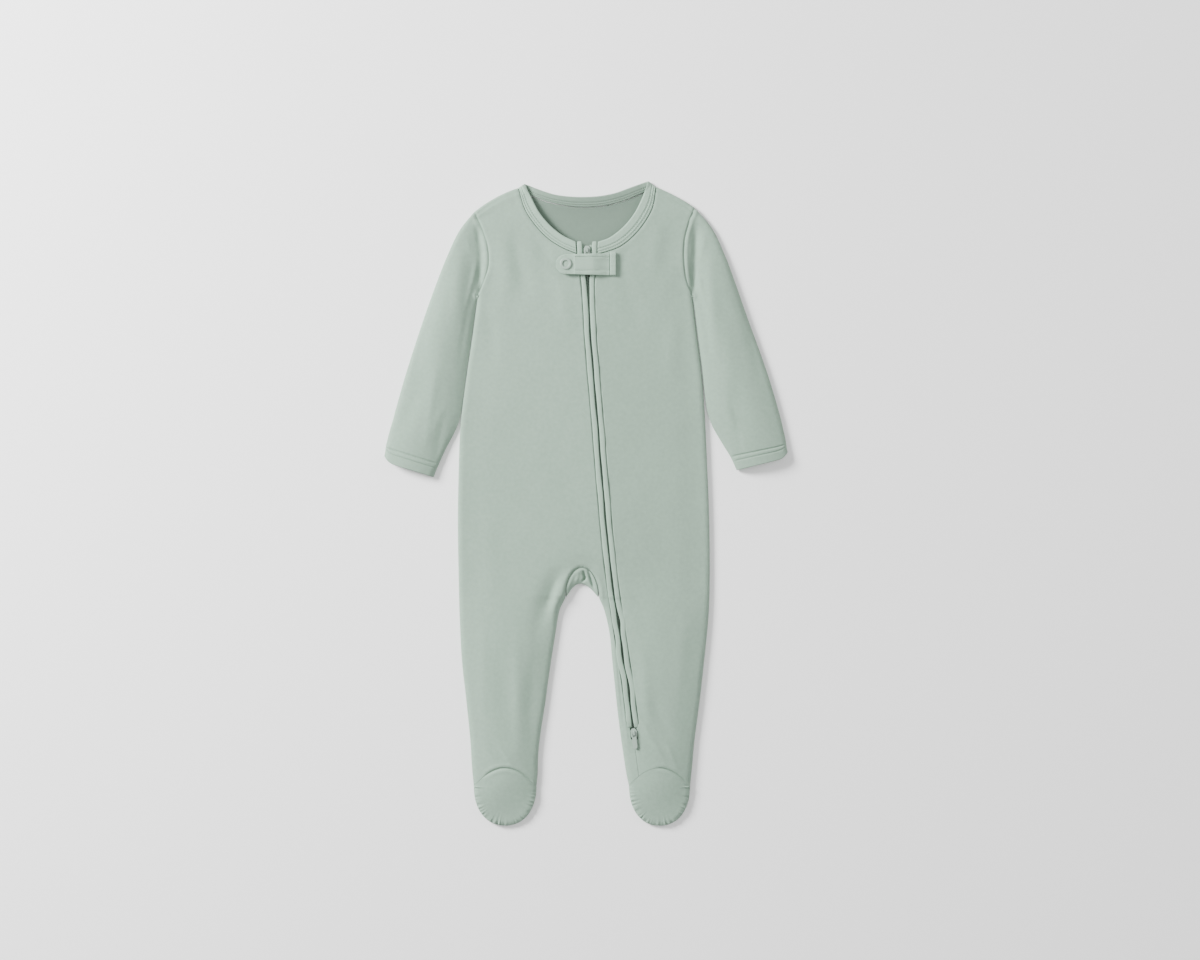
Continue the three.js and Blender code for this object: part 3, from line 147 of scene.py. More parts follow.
# x0, y0, x1, y1, width, height: the largest folds, as in the frame
BODY_FOLDS = [
    (-12, -52, -36, -120, 6, 1.2), (-27, -58, -46, -112, 8, -1), (10, -52, 17, -96, 4, 0.7),
    (-72, -150, -66, -232, 8, -0.9), (52, -120, 58, -225, 6, 0.8), (60, -176, 80, -226, 6, -0.8),
    (-74, 262, -72, 205, 7, 0.7), (-44, 244, -34, 196, 7, -0.6), (70, 262, 60, 205, 8, 0.6),
]
SLEEVE_FOLDS = [
    (-100.5, 262, -97, 226, 3.4, -2.2), (-97, 238, -99, 186, 3.6, -3), (-116, 236, -122, 160, 7, 1),
    (-146, 128, -172, 62, 7, -0.8), (102, 260, 101.5, 226, 3.6, -2.2), (101.5, 238, 99.5, 186, 3.8, -3),
    (112, 232, 122, 130, 6, 1.1), (136, 120, 148, 60, 7, -0.8),
]
# the same columns: smaller creases seen in the cloth
FRONT_CREASES = [
    (-2.6, -61.5, -0.4, -71.5, 1.2, -3.2), (0.4, -67, -5.2, -75.6, 1.1, -2.8),
    (1.6, -60, 8.8, -84, 1.3, -2.6),
    (-6.5, -62, -9.5, -76, 1.6, 0.7), (-12, -54, -34, -108, 4, 0.7), (-24, -58, -50, -132, 7, -0.8),
    (-64, -112, -64, -236, 6, 1.0), (-80, -128, -78, -228, 6, -0.5), (-96, -96, -94, -230, 5, 0.35),
    (-50, -140, -52, -236, 6, -0.6),
    (5.2, -60.5, 12.4, -82, 1.3, 0.5), (-21, -66, -33, -104, 2.6, 0.8), (-27, -68, -38, -100, 3, -0.7),
    (36, -176, 75, -242, 2.4, 0.45), (31, -178, 66, -236, 3, -0.35), (-100, -219, -78, -246, 2.4, 0.35),
    (-96, -214, -72, -238, 3, -0.3), (-82, -222, -64, -250, 2, 0.3), (24, -92, 33, -150, 1.5, -0.5),
    (21, -96, 31, -190, 1.7, 0.55), (28, -140, 36, -214, 1.4, -0.45), (33, -176, 40, -232, 1.4, 0.4),
    (-60, 236, -86, 168, 9, 0.5), (-26, 226, -14, 150, 7, 0.45), (-92, 190, -84, 120, 6, -0.4),
    (30, 226, 52, 160, 8, -0.4), (84, 192, 78, 110, 7, 0.4), (-50, 60, -20, -20, 12, 0.35),
    (50, 40, 74, -60, 13, -0.3), (-92, -10, -84, -110, 9, 0.35), (40, -60, 60, -150, 8, -0.35),
    (-90, 268, -70, 194, 9, 0.9), (-70, 254, -54, 188, 7, -0.6), (-52, 250, -22, 216, 5, -0.5),
    (-58, 238, -24, 206, 5, 0.45), (44, 246, 28, 214, 5, -0.35), (78, 268, 74, 216, 9, -0.5),
    (92, -100, 84, -190, 6, 0.4), (-52, -104, -58, -190, 6, 0.45), (72, -214, 86, -250, 2.4, 0.3),
]
SLEEVE_CREASES = [
    (-102, 272, -105, 180, 8, -1.6), (-128, 190, -146, 90, 9, 0.7),
    (103, 270, 106, 180, 8, -1.6), (126, 180, 136, 96, 8, 0.6),
    (-138, 130, -150, 44, 4, 0.6), (-130, 90, -142, 30, 3.5, -0.5), (133, 104, 146, 40, 3.5, -0.5),
    (-101, 228, -112, 178, 2, 0.6), (-106, 200, -118, 128, 3, -0.5), (-124, 214, -150, 132, 6, 0.5),
    (-150, 168, -160, 100, 5, -0.4), (-128, 96, -150, 52, 4, 0.4), (101.5, 226, 112, 176, 2, 0.6),
    (106, 200, 116, 130, 3, -0.5), (126, 218, 152, 134, 6, 0.5), (150, 168, 164, 104, 5, -0.4),
    (126, 96, 146, 56, 4, 0.4), (-112, 252, -104, 222, 3, 0.5), (112, 254, 105, 224, 3, 0.5),
]
# the back lies on the table, so its folds only lift from it
BACK_FOLDS = [
    (-56, 298, 56, 298, 20, 6.4),
    (-60, 262, -52, 196, 8, 0.8), (58, 258, 52, 190, 7, 0.7), (-84, 120, -70, 10, 6, 0.9),
    (12, 232, 4, 130, 6, 0.6), (70, 90, 84, -20, 7, 0.9), (-30, -30, -46, -120, 5, 1.1),
    (20, -40, 38, -128, 5, 1.0), (-78, -120, -74, -190, 5, 0.8), (72, -124, 66, -186, 5, 0.8),
    (-10, 60, -22, -20, 9, 0.6), (-150, 180, -160, 100, 5, 0.7), (146, 190, 158, 96, 5, 0.8),
    (-120, 230, -124, 160, 4, 0.7), (118, 232, 124, 150, 4, 0.7),
]
# turn in radians, length and shift of the long waves that make laid cloth uneven, and how each is bent
CRUMPLE_WAVES = [
    (0.3, 61, 0.4), (1.1, 43, 2.1), (1.9, 78, 4.4), (2.6, 35, 1.2), (0.8, 27, 5.3), (2.2, 96, 3.1),
]
CRUMPLE_BEND, CRUMPLE_SLOW = 0.8, 0.37
FRONT_CRUMPLE, SLEEVE_CRUMPLE = 0.22, 0.24
ZIP_RIPPLE = {"height": 0.16, "pitch": 13.0, "reach": 7.0, "left_shift": 1.9, "ends": 20.0}
# pitch, reach and height of the puckers
TOE_PUCKERS = ((3.8, 2.2, 1.2), (6.7, 3, 0.6))
SOLE_PUCKERS = (5.2, 2.5, 0.4)
FRONT_ARMHOLE_PUCKERS = (17, 7, 0.2)
SLEEVE_ARMHOLE_PUCKERS = (13, 8, 0.25)
# depth, place after the hem's seam and width, in sections, of the grooves under the hem's stitches
HEM_GROOVES = ((1.0, -0.03, 0.06), (0.65, 0.3, 0.05))
HEM_STITCHES = (-0.02, 0.3)
HEM_STITCH_LIFT, STITCH_OFFSET, SNAP_SINK = 0.12, 0.02, 0.05
HEM_WALL, SLEEVE_WALL_WEIGHT, SLEEVE_LENGTH = 1.8, 0.55, 246.0
INNER_FLAT, INNER_FLAT_REACH = 0.95, 13.0
# height of a row at the leg's side and at its middle: the front's rows, and the back's down to the heel
LEG_BENDS = np.array([
    (-262, -245), (-246, -233), (-230, -220), (-214, -206),
    (-190, -186), (-162, -160), (-134, -134), (-88, -88),
])
HEEL_BENDS = np.array([(-262, -190), (-222, -172), (-186, -154), (-150, -134), (-118, -112), (-88, -88)])

# shift of the small wave, height of the kink, and shifts of the ripple and of the width's wave of each welt
WELT_WAVES = {"right": (0.4, -0.3, 0, 0), "left": (2.0, 0.9, 2, 1)}
WELT_ABOVE, WELT_HEIGHT, KINK_Y, KINK_REACH = 0.9, 2.6, -110.0, 7.0
TAPE = {"middle": 4.3, "half": 1.9, "outer": 6.2, "below": 3.0, "wall": 1.0, "from": 240.0, "to": -226.0}
COIL = {"pitch": 1.4, "from": -223.6, "to": 237.6, "below": 2.7, "outer": 1.95, "inner": 0.45}
COIL_LOOP = {"pitch": 5, "length": 2.4, "radius": 0.42}

TAB_Y, TAB_ROUND_X, TAB_RADIUS, TAB_END_X, TAB_HALF_AT_END = 221.6, -18.7, 9.2, 21.8, 10.2
TAB_WALL, TAB_LIFT, TAB_RAMP_FROM, TAB_RAMP_TO = 1.8, 3.3, 5.0, 22.0
TAB_END = {"y": 222.4, "from": 22.2, "to": 27.9, "half": 11.0, "wall": 2.3}
TAB_SEAMS = (228.2, 226.2, 215.8)
TAB_DENT, TAB_DENT_WIDTH, TAB_STITCH_DEPTH, TAB_STITCH_FROM = 0.85, 0.45, 0.55, -9.6
SNAP_X, SNAP_Y, SNAP_OUTER, SNAP_INNER, SNAP_RING = -18.7, 222.0, 5.4, 2.9, 1.0

# place and size in metres of each light, and the camera's place and lens
LIGHTS = {
    "key": ((-1.75, 1.0, 1.15), 0.8),
    "fill": ((0.3, -0.2, 3.6), 3.0),
    "side": ((1.9, 0.5, 1.1), 1.2),
}
CAMERA_PLACE, LENS, SENSOR, FLOOR_REACH = (0.0130, 0.0219, 2.634), 85, 36, 4.0


# Plan curves and the outline

def smooth(start, end, v):
    """An s-shaped step from 0 at start to 1 at end: 3t^2 - 2t^3."""
    t = np.clip((v - start) / (end - start), 0, 1)
    return t * t * (3 - 2 * t)


def lerp(a, b, t):
    """The straight way from a to b."""
    return a + (b - a) * t


def across(a, b, t):
    """Plan points on the straight way from points a to points b, at shares t."""
    a, b = np.asarray(a, float), np.asarray(b, float)
    return a + (b - a) * np.asarray(t, float)[..., None]


def squared(wave, power):
    """A wave pressed towards a square one: its sign times its size to a power under 1."""
    return np.sign(wave) * np.abs(wave) ** power


def sample(values, run, at):
    """Rows of values, given at distances run, looked up at the distances at."""
    return np.stack([np.interp(at, run, column) for column in values.T], -1)


def run_along(points):
    """Distance along a row of points, from 0 at the first."""
    return np.concatenate([[0], np.cumsum(np.linalg.norm(np.diff(points, axis=0), axis=1))])


def along_y(table, column):
    """A column of a table as a function of y: cubic pieces whose slopes come from the rows on both sides."""
    rows = table[np.argsort(table[:, 0])]
    y, v = rows[:, 0], rows[:, column]
    ahead, behind = np.minimum(np.arange(len(y)) + 1, len(y) - 1), np.maximum(np.arange(len(y)) - 1, 0)
    slope = (v[ahead] - v[behind]) / (y[ahead] - y[behind])

    def value(at):
        at = np.asarray(at, float)
        i = np.clip(np.searchsorted(y, at) - 1, 0, len(y) - 2)
        h = y[i + 1] - y[i]
        t = np.clip((at - y[i]) / h, 0, 1)
        t2, t3 = t * t, t * t * t
        start, end = (2 * t3 - 3 * t2 + 1) * v[i], (3 * t2 - 2 * t3) * v[i + 1]
        return start + end + (t3 - 2 * t2 + t) * h * slope[i] + (t3 - t2) * h * slope[i + 1]

    return value


class PlanCurve:
    """A smooth curve through plan points (Catmull-Rom, with knots at the root of their spacing)."""

    def __init__(self, points):
        p = np.asarray(points, float)
        p = np.vstack([2 * p[0] - p[1], p, 2 * p[-1] - p[-2]])
        gap = np.sqrt(np.linalg.norm(np.diff(p, axis=0), axis=1))[:, None]
        a, b, c, d = p[:-3], p[1:-2], p[2:-1], p[3:]
        g0, g1, g2 = gap[:-2], gap[1:-1], gap[2:]
        start = ((b - a) / g0 - (c - a) / (g0 + g1) + (c - b) / g1) * g1
        end = ((c - b) / g1 - (d - b) / (g1 + g2) + (d - c) / g2) * g1
        t = np.linspace(0, 1, 60, endpoint=False)[None, :, None]
        b, c, start, end = b[:, None], c[:, None], start[:, None], end[:, None]
        dense = b + start * t + (3 * (c - b) - 2 * start - end) * t**2 + (2 * (b - c) + start + end) * t**3
        self.points = np.vstack([dense.reshape(-1, 2), p[-2]])
        self.number = np.linspace(0, len(points) - 1, len(self.points))
        self.length = run_along(self.points)

    def at(self, share):
        """The point at a share of the curve's length."""
        return sample(self.points, self.length, np.clip(share, 0, 1) * self.length[-1])

    def knot(self, number):
        """The point at a point's number, which need not be whole."""
        return sample(self.points, self.number, number)

    def beside(self, share, distance):
        """The points at shares of the length, moved to the curve's left by a distance."""
        share = np.asarray(share, float)
        d = self.at(np.minimum(share + 0.01, 1)) - self.at(np.maximum(share - 0.01, 0))
        d /= np.linalg.norm(d, axis=-1, keepdims=True)
        return self.at(share) + np.stack([-d[..., 1], d[..., 0]], -1) * distance


body_edge = {"right": along_y(BODY_EDGES, 1), "left": along_y(BODY_EDGES, 2)}
inseam = {"right": along_y(INSEAMS, 1), "left": along_y(INSEAMS, 2)}
zip_x = along_y(ZIP_LINE, 1)
welt_offset = along_y(WELT_OFFSET, 1)
armhole = {side: PlanCurve(ARMHOLES[side]) for side in SIDES}
shoulder = {side: PlanCurve(SHOULDERS[side]) for side in SIDES}
neck_seam = {side: PlanCurve(NECK_SEAMS[side]) for side in SIDES}
neck_edge = {side: PlanCurve(NECK_FREE_EDGES[side]) for side in SIDES}
back_neck_seam = PlanCurve(BACK_NECK_SEAM)
back_neck_edge = PlanCurve(BACK_NECK_FREE_EDGE)
sleeve_outer = {side: PlanCurve(SLEEVES[side][:, :2]) for side in SIDES}
sleeve_inner = {side: PlanCurve(SLEEVES[side][:, 2:]) for side in SIDES}


def slot_half(y):
    """Half of the slot between the fronts: open under the welts, narrow at the slider, then a seam."""
    wide = welt_offset(y) + WELT_WIDTH / 2 + LAYER_GAP
    half = lerp(CLOSED_SEAM, SLIDER_SLOT["half"], smooth(SLIDER_SLOT["closed"], SLIDER_SLOT["end"], y))
    return lerp(half, wide, smooth(SLIDER_SLOT["start"], SLIDER_SLOT["open"], y))


def beside_zip(y, sign):
    """The front's edge along the zip, on the right for a sign of -1 and on the left for 1."""
    return zip_x(y) + sign * slot_half(y)


def gusset_seam(angle):
    """Half ellipse of the gusset's seam, from 0 at the left leg to pi at the right."""
    return np.stack([GUSSET_X + GUSSET_HALF * np.cos(angle), GUSSET_Y + SEAM_RISE * np.sin(angle)], -1)


def crotch_edge(angle):
    """The crotch's folded edge at the same angles."""
    rise = np.clip(np.sin(angle), 0, 1)
    x = GUSSET_X + GUSSET_LEAN * rise**3 + GUSSET_HALF * np.cos(angle)
    return np.stack([x, GUSSET_Y + EDGE_RISE * rise**GUSSET_POWER], -1)


def toe_edge(side, angle):
    """The toe's outline as a superellipse, from 0 at the inner side of the foot to pi at the outer."""
    outer, inner = body_edge[side](FOOT_Y), inseam[side](FOOT_Y)
    turn = squared(np.cos(angle), 2 / TOE_POWER)
    x = (outer + inner) / 2 + (inner - outer) / 2 * turn
    return np.stack([x, FOOT_Y - TOE[side] * np.clip(np.sin(angle), 0, 1) ** (2 / TOE_POWER)], -1)


class Path:
    """Straight pieces between plan points, with smoothed normals on their right."""

    def __init__(self, points):
        p = np.asarray(points, float)
        p = p[np.concatenate([[True], np.linalg.norm(np.diff(p, axis=0), axis=1) > 1e-6])]
        i = np.arange(len(p))
        d = p[np.minimum(i + 1, len(p) - 1)] - p[np.maximum(i - 1, 0)]
        n = np.stack([d[:, 1], -d[:, 0]], -1) / np.linalg.norm(d, axis=1)[:, None]
        steps = np.linalg.norm(np.diff(p, axis=0), axis=1)
        self.a, self.d, self.na, self.nb = p[:-1], np.diff(p, axis=0), n[:-1], n[1:]
        self.start, self.step = np.concatenate([[0], np.cumsum(steps)[:-1]]), steps


def nearest(paths, points, chunk=3000):
    """Distance of plan points to the nearest piece of the paths, the way out, and how far along it is."""
    parts = ("a", "d", "na", "nb", "start", "step")
    a, d, na, nb, start, step = (np.concatenate([getattr(path, part) for path in paths]) for part in parts)
    flat = points.reshape(-1, 2)
    distance, out, along = np.empty(len(flat)), np.empty((len(flat), 2)), np.empty(len(flat))
    square = (d**2).sum(1)
    for i in range(0, len(flat), chunk):
        p = flat[i:i + chunk, None]
        t = np.clip(((p - a) * d).sum(2) / square, 0, 1)
        away = np.linalg.norm(p - a - d * t[..., None], axis=2)
        k = away.argmin(1)
        row = np.arange(len(k))
        share = t[row, k][:, None]
        normal = na[k] * (1 - share) + nb[k] * share
        distance[i:i + chunk] = away[row, k]
        out[i:i + chunk] = normal / np.linalg.norm(normal, axis=1)[:, None]
        along[i:i + chunk] = start[k] + step[k] * share[:, 0]
    shape = points.shape[:-1]
    return distance.reshape(shape), out.reshape(*shape, 2), along.reshape(shape)


def column_path(side, function, low, high, count):
    """Plan points down a table's edge."""
    y = np.linspace(high, low, count)
    return np.stack([function[side](y), y], -1)


TOE_ANGLES = np.linspace(np.pi, 0, 80)
LOWER_OUTLINE = Path(np.vstack([
    column_path("right", body_edge, FOOT_Y, UNDERARM_Y, 150),
    toe_edge("right", TOE_ANGLES),
    column_path("right", inseam, FOOT_Y, GUSSET_Y, 70)[::-1],
    crotch_edge(np.linspace(np.pi, 0, 60)),
    column_path("left", inseam, FOOT_Y, GUSSET_Y, 70),
    toe_edge("left", TOE_ANGLES[::-1]),
    column_path("left", body_edge, FOOT_Y, UNDERARM_Y, 150)[::-1],
]))
TOP_OUTLINE = {}
SLEEVE_INNER_OUTLINE = {}
for _side in SIDES:
    _shoulder = [NECK_TIPS[_side], *SHOULDERS[_side], *SLEEVES[_side][1:, :2]]
    _top = PlanCurve(_shoulder).at(np.linspace(0, 1, 160))
    _inner = sleeve_inner[_side].at(np.linspace(0, 1, 100))
    TOP_OUTLINE[_side] = Path(_top if _side == "right" else _top[::-1])
    SLEEVE_INNER_OUTLINE[_side] = Path(_inner[::-1] if _side == "right" else _inner)
BODY_OUTLINE = [LOWER_OUTLINE, TOP_OUTLINE["right"], TOP_OUTLINE["left"]]


# Heights of the two layers of cloth

def folds(table, p):
    """Sum of soft ridges and troughs: height times sin(pi along) times exp(-(across / width)^2)."""
    total = np.zeros(p.shape[:-1])
    for x0, y0, x1, y1, width, height in table:
        dx, dy = x1 - x0, y1 - y0
        run = ((p[..., 0] - x0) * dx + (p[..., 1] - y0) * dy) / (dx * dx + dy * dy)
        off = ((p[..., 0] - x0) * dy - (p[..., 1] - y0) * dx) / math.hypot(dx, dy)
        tall = np.where((run > 0) & (run < 1), height * np.sin(np.pi * np.clip(run, 0, 1)), 0)
        total += tall * np.exp(-((off / width) ** 2))
    return total


def crumple(p, size):
    """Uneven softness of laid cloth: six long sine waves at different turns, added up."""
    total = np.zeros(p.shape[:-1])
    for k, (turn, length, shift) in enumerate(CRUMPLE_WAVES):
        phase = (p[..., 0] * math.cos(turn) + p[..., 1] * math.sin(turn)) * 2 * math.pi / length + shift
        total += np.sin(phase + CRUMPLE_BEND * np.sin(phase * CRUMPLE_SLOW + k)) / len(CRUMPLE_WAVES)
    return total * size


def close_to(p, path, reach=16.0):
    """Distance to a path and how far along it the nearest point is, worked out only near the path."""
    low, high = path.a.min(0) - reach, path.a.max(0) + reach
    near = ((p > low) & (p < high)).all(-1)
    distance, along = np.full(near.shape, 100.0), np.zeros(near.shape)
    if near.any():
        distance[near], _, along[near] = nearest([path], p[near])
    return distance, along


def seam_relief(p, path, groove, ridge, width, start=-1.0, end=2.0):
    """A seam in the cloth: a narrow groove on the path and a low rise beside it, where its turnings lie.

    It shows between the shares start and end of the path.
    """
    distance, along = close_to(p, path)
    share = along / (path.start[-1] + path.step[-1])
    depth = smooth(start - 0.08, start + 0.08, share) * smooth(end + 0.08, end - 0.08, share)
    turnings = np.exp(-(((distance - 3.0) / 1.5) ** 2))
    return depth * (ridge * turnings - groove * np.exp(-((distance / width) ** 2)))


def gathers(p, path, pitch, reach, height):
    """Puckers that stand across a seam and die out away from it, some tall and some hardly there."""
    distance, along = close_to(p, path)
    phase = 2 * math.pi * along / pitch
    wave = np.sin(phase + 1.3 * np.sin(phase * 0.31) + 0.6 * np.sin(phase * 0.13))
    uneven = np.maximum(0.1, 0.55 + 0.45 * np.sin(phase * 0.17 + 1) + 0.3 * np.sin(phase * 0.43))
    return height * wave * uneven * np.exp(-distance / reach)


def cap_bend(t):
    """The toe cap's arc across a leg."""
    return np.sin(np.pi * np.clip(t, 0, 1))


def heel_bend(t):
    """The heel's half ellipse across a leg."""
    return np.sqrt(np.clip(1 - (2 * np.clip(t, 0, 1) - 1) ** 2, 0, 1))


def leg_point(side, side_y, middle_y, t, bend):
    """Plan point at share t across a leg, on a row that bends from side_y to middle_y."""
    y = lerp(side_y, middle_y, bend(t))
    return np.stack([lerp(body_edge[side](y), inseam[side](y), t), y], -1)


def body_crown(p, distance):
    """Rise of the body: a low tent along the zip, which parts into a hump on each leg."""
    x, y = p[..., 0], p[..., 1]
    on_right = x < np.where(y > GUSSET_Y, GUSSET_X, 0)
    upper = np.minimum(y, UNDERARM_Y)
    edge = np.where(x < zip_x(y), body_edge["right"](upper), body_edge["left"](upper))
    away = np.minimum(1, np.abs(x - zip_x(y)) / np.abs(edge - zip_x(y)))
    tent = TORSO_CROWN * (1 - away**TENT_POWER) * smooth(0, SILHOUETTE_FADE, distance)
    outer = np.where(on_right, body_edge["right"](y), body_edge["left"](y))
    inner = np.where(y > GUSSET_Y, GUSSET_X, np.where(on_right, inseam["right"](y), inseam["left"](y)))
    t = np.clip((x - outer) / (inner - outer), 0, 1)
    toe = smooth(FOOT_Y - np.where(on_right, TOE["right"], TOE["left"]), FOOT_Y + INSTEP, y)
    return lerp(tent, LEG_CROWN * 4 * t * (1 - t) * toe, 1 - smooth(LEGS_TO, LEGS_FROM, y))


def roll(distance, width):
    """Cosine and sine of how far the cloth has turned over at a distance from its fold."""
    cos = 1 - np.clip(distance / width, 0, 1)
    return cos, np.sqrt(1 - cos * cos)


def facing(out, cos, sin, width, rise):
    """The way a rolled edge faces: an ellipse's gradient, cos / width outwards and sin / rise upwards."""
    normal = np.concatenate([out * (cos / width)[..., None], (sin / rise)[..., None]], -1)
    return normal / np.linalg.norm(normal, axis=-1, keepdims=True)


def upper_layer(p, outline, rise):
    """Outside of the upper layer, and the way it faces: seam height, rolled edge and rise(p, distance)."""
    distance, out, _ = nearest(outline, p)
    cos, sin = roll(distance, FRONT_ROLL_WIDTH)
    z = SEAM_HEIGHT + LAYER_GAP / 2 + FRONT_ROLL_RISE * sin + rise(p, distance)
    return np.concatenate([p, z[..., None]], -1), facing(out, cos, sin, FRONT_ROLL_WIDTH, FRONT_ROLL_RISE)


def lower_layer(p, outline):
    """Outside of the lower layer, which lies on the table, rolls up at its edges and lifts in folds."""
    distance, out, _ = nearest(outline, p)
    cos, sin = roll(distance, BACK_ROLL_WIDTH)
    height = SEAM_HEIGHT - LAYER_GAP / 2
    z = height * (1 - sin) + folds(BACK_FOLDS, p) * smooth(2, 14, distance)
    return np.concatenate([p, z[..., None]], -1), facing(out, cos, sin, BACK_ROLL_WIDTH, -height)


FRONT_SEAMS = {
    "armhole_right": Path(armhole["right"].at(np.linspace(0, 1, 60))),
    "armhole_left": Path(armhole["left"].at(np.linspace(0, 1, 60))),
    "shoulder_right": Path(shoulder["right"].beside(np.linspace(0, 1, 40), 3.4)),
    "shoulder_left": Path(shoulder["left"].beside(np.linspace(0, 1, 40), -3.4)),
    "neck_right": Path(neck_seam["right"].at(np.linspace(0, 1, 60))),
    "neck_left": Path(neck_seam["left"].at(np.linspace(0, 1, 60))),
    "gusset": Path(gusset_seam(np.linspace(0, np.pi, 60))),
    "cap_right": Path(leg_point("right", FOOT_Y, FOOT_Y + CAP_RISE, np.linspace(0, 1, 60), cap_bend)),
    "cap_left": Path(leg_point("left", FOOT_Y, FOOT_Y + CAP_RISE, np.linspace(0, 1, 60), cap_bend)),
}
# groove, ridge and width of each seam in the front, and the shares of it between which it shows
SEAM_RELIEF = {
    "armhole_right": (0.8, 0.12, 0.75), "armhole_left": (0.8, 0.12, 0.75),
    "shoulder_right": (0.6, 0.15, 0.7), "shoulder_left": (0.6, 0.15, 0.7),
    "neck_right": (0.3, 0.1, 0.8), "neck_left": (0.3, 0.1, 0.8), "gusset": (0.9, 0.35, 0.9),
    "cap_right": (1.1, 0.3, 0.85, 0.22, 0.9), "cap_left": (1.1, 0.3, 0.85, 0.08, 0.52),
}
TOE_SEAMS = {side: Path(toe_edge(side, TOE_ANGLES)) for side in SIDES}


def zip_ripple(p):
    """Low ripples across the zip, where its stiff tape holds the cloth."""
    off = np.abs(p[..., 0] - zip_x(p[..., 1])) - welt_offset(p[..., 1])
    shift = np.where(p[..., 0] > zip_x(p[..., 1]), ZIP_RIPPLE["left_shift"], 0)
    phase = 2 * math.pi * p[..., 1] / ZIP_RIPPLE["pitch"] + shift
    wave = np.sin(phase + 1.1 * np.sin(phase * 0.27)) * np.exp(-np.clip(off, 0, None) / ZIP_RIPPLE["reach"])
    return ZIP_RIPPLE["height"] * wave * smooth(WELT_BOTTOM - ZIP_RIPPLE["ends"], WELT_BOTTOM, p[..., 1])


def front_rise(creases):
    """What the front adds on the rolled edge: crown, folds, creases, seams and puckers."""

    def rise(p, distance):
        soft = folds(BODY_FOLDS, p) + folds(FRONT_CREASES, p) * creases
        soft += crumple(p, FRONT_CRUMPLE * creases)
        soft += zip_ripple(p)
        soft *= smooth(0, FRONT_ROLL_WIDTH, distance)
        for name, path in FRONT_SEAMS.items():
            soft += seam_relief(p, path, *SEAM_RELIEF[name])
        for side in SIDES:
            at_sides = (1 + 0.8 * smooth(FOOT_Y - 22, FOOT_Y - 8, p[..., 1])) * smooth(0, 1, distance)
            small, large = (gathers(p, TOE_SEAMS[side], *puckers) for puckers in TOE_PUCKERS)
            soft += (small + large) * at_sides
            soft += gathers(p, FRONT_SEAMS["armhole_" + side], *FRONT_ARMHOLE_PUCKERS)
        return body_crown(p, distance) + soft

    return rise


def front_layer(p, creases=1.0):
    """Outside of the front cloth at plan points, and the way it faces."""
    return upper_layer(p, BODY_OUTLINE, front_rise(creases))


def smooth_front(p):
    """The front without creases and seams, for what is sewn on it."""

    def rise(q, distance):
        return body_crown(q, distance) + folds(BODY_FOLDS, q) * smooth(0, FRONT_ROLL_WIDTH, distance)

    return upper_layer(p, BODY_OUTLINE, rise)


def back_layer(p):
    """Outside of the back cloth at plan points, and the way it faces."""
    return lower_layer(p, BODY_OUTLINE)


# Meshes

def linked(name, data):
    """A new object of that data in the scene's collection."""
    obj = bpy.data.objects.new(name, data)
    bpy.context.scene.collection.objects.link(obj)
    return obj


def graded(count, start=0.85, end=0.85, reach=0.06):
    """count + 1 shares from 0 to 1 that crowd towards the ends.

    Their spacing goes with 1 - start e^(-t / reach) - end e^(-(1 - t) / reach), and is never under 0.05.
    """
    t = np.linspace(0, 1, 600)
    weight = 1 - start * np.exp(-t / reach) - end * np.exp(-(1 - t) / reach)
    density = np.concatenate([[0], np.cumsum(1 / np.maximum(weight, 0.05))])[:-1]
    return np.interp(np.linspace(0, 1, count + 1), density / density[-1], t)


def grid_faces(rows, columns, ring):
    """Quads of a grid of rows by columns, round to the first column again if it is a ring."""
    i, j = np.meshgrid(np.arange(rows - 1), np.arange(columns if ring else columns - 1), indexing="ij")
    k = (j + 1) % columns
    corners = [i * columns + j, i * columns + k, (i + 1) * columns + k, (i + 1) * columns + j]
    return np.stack(corners, -1).reshape(-1, 4)


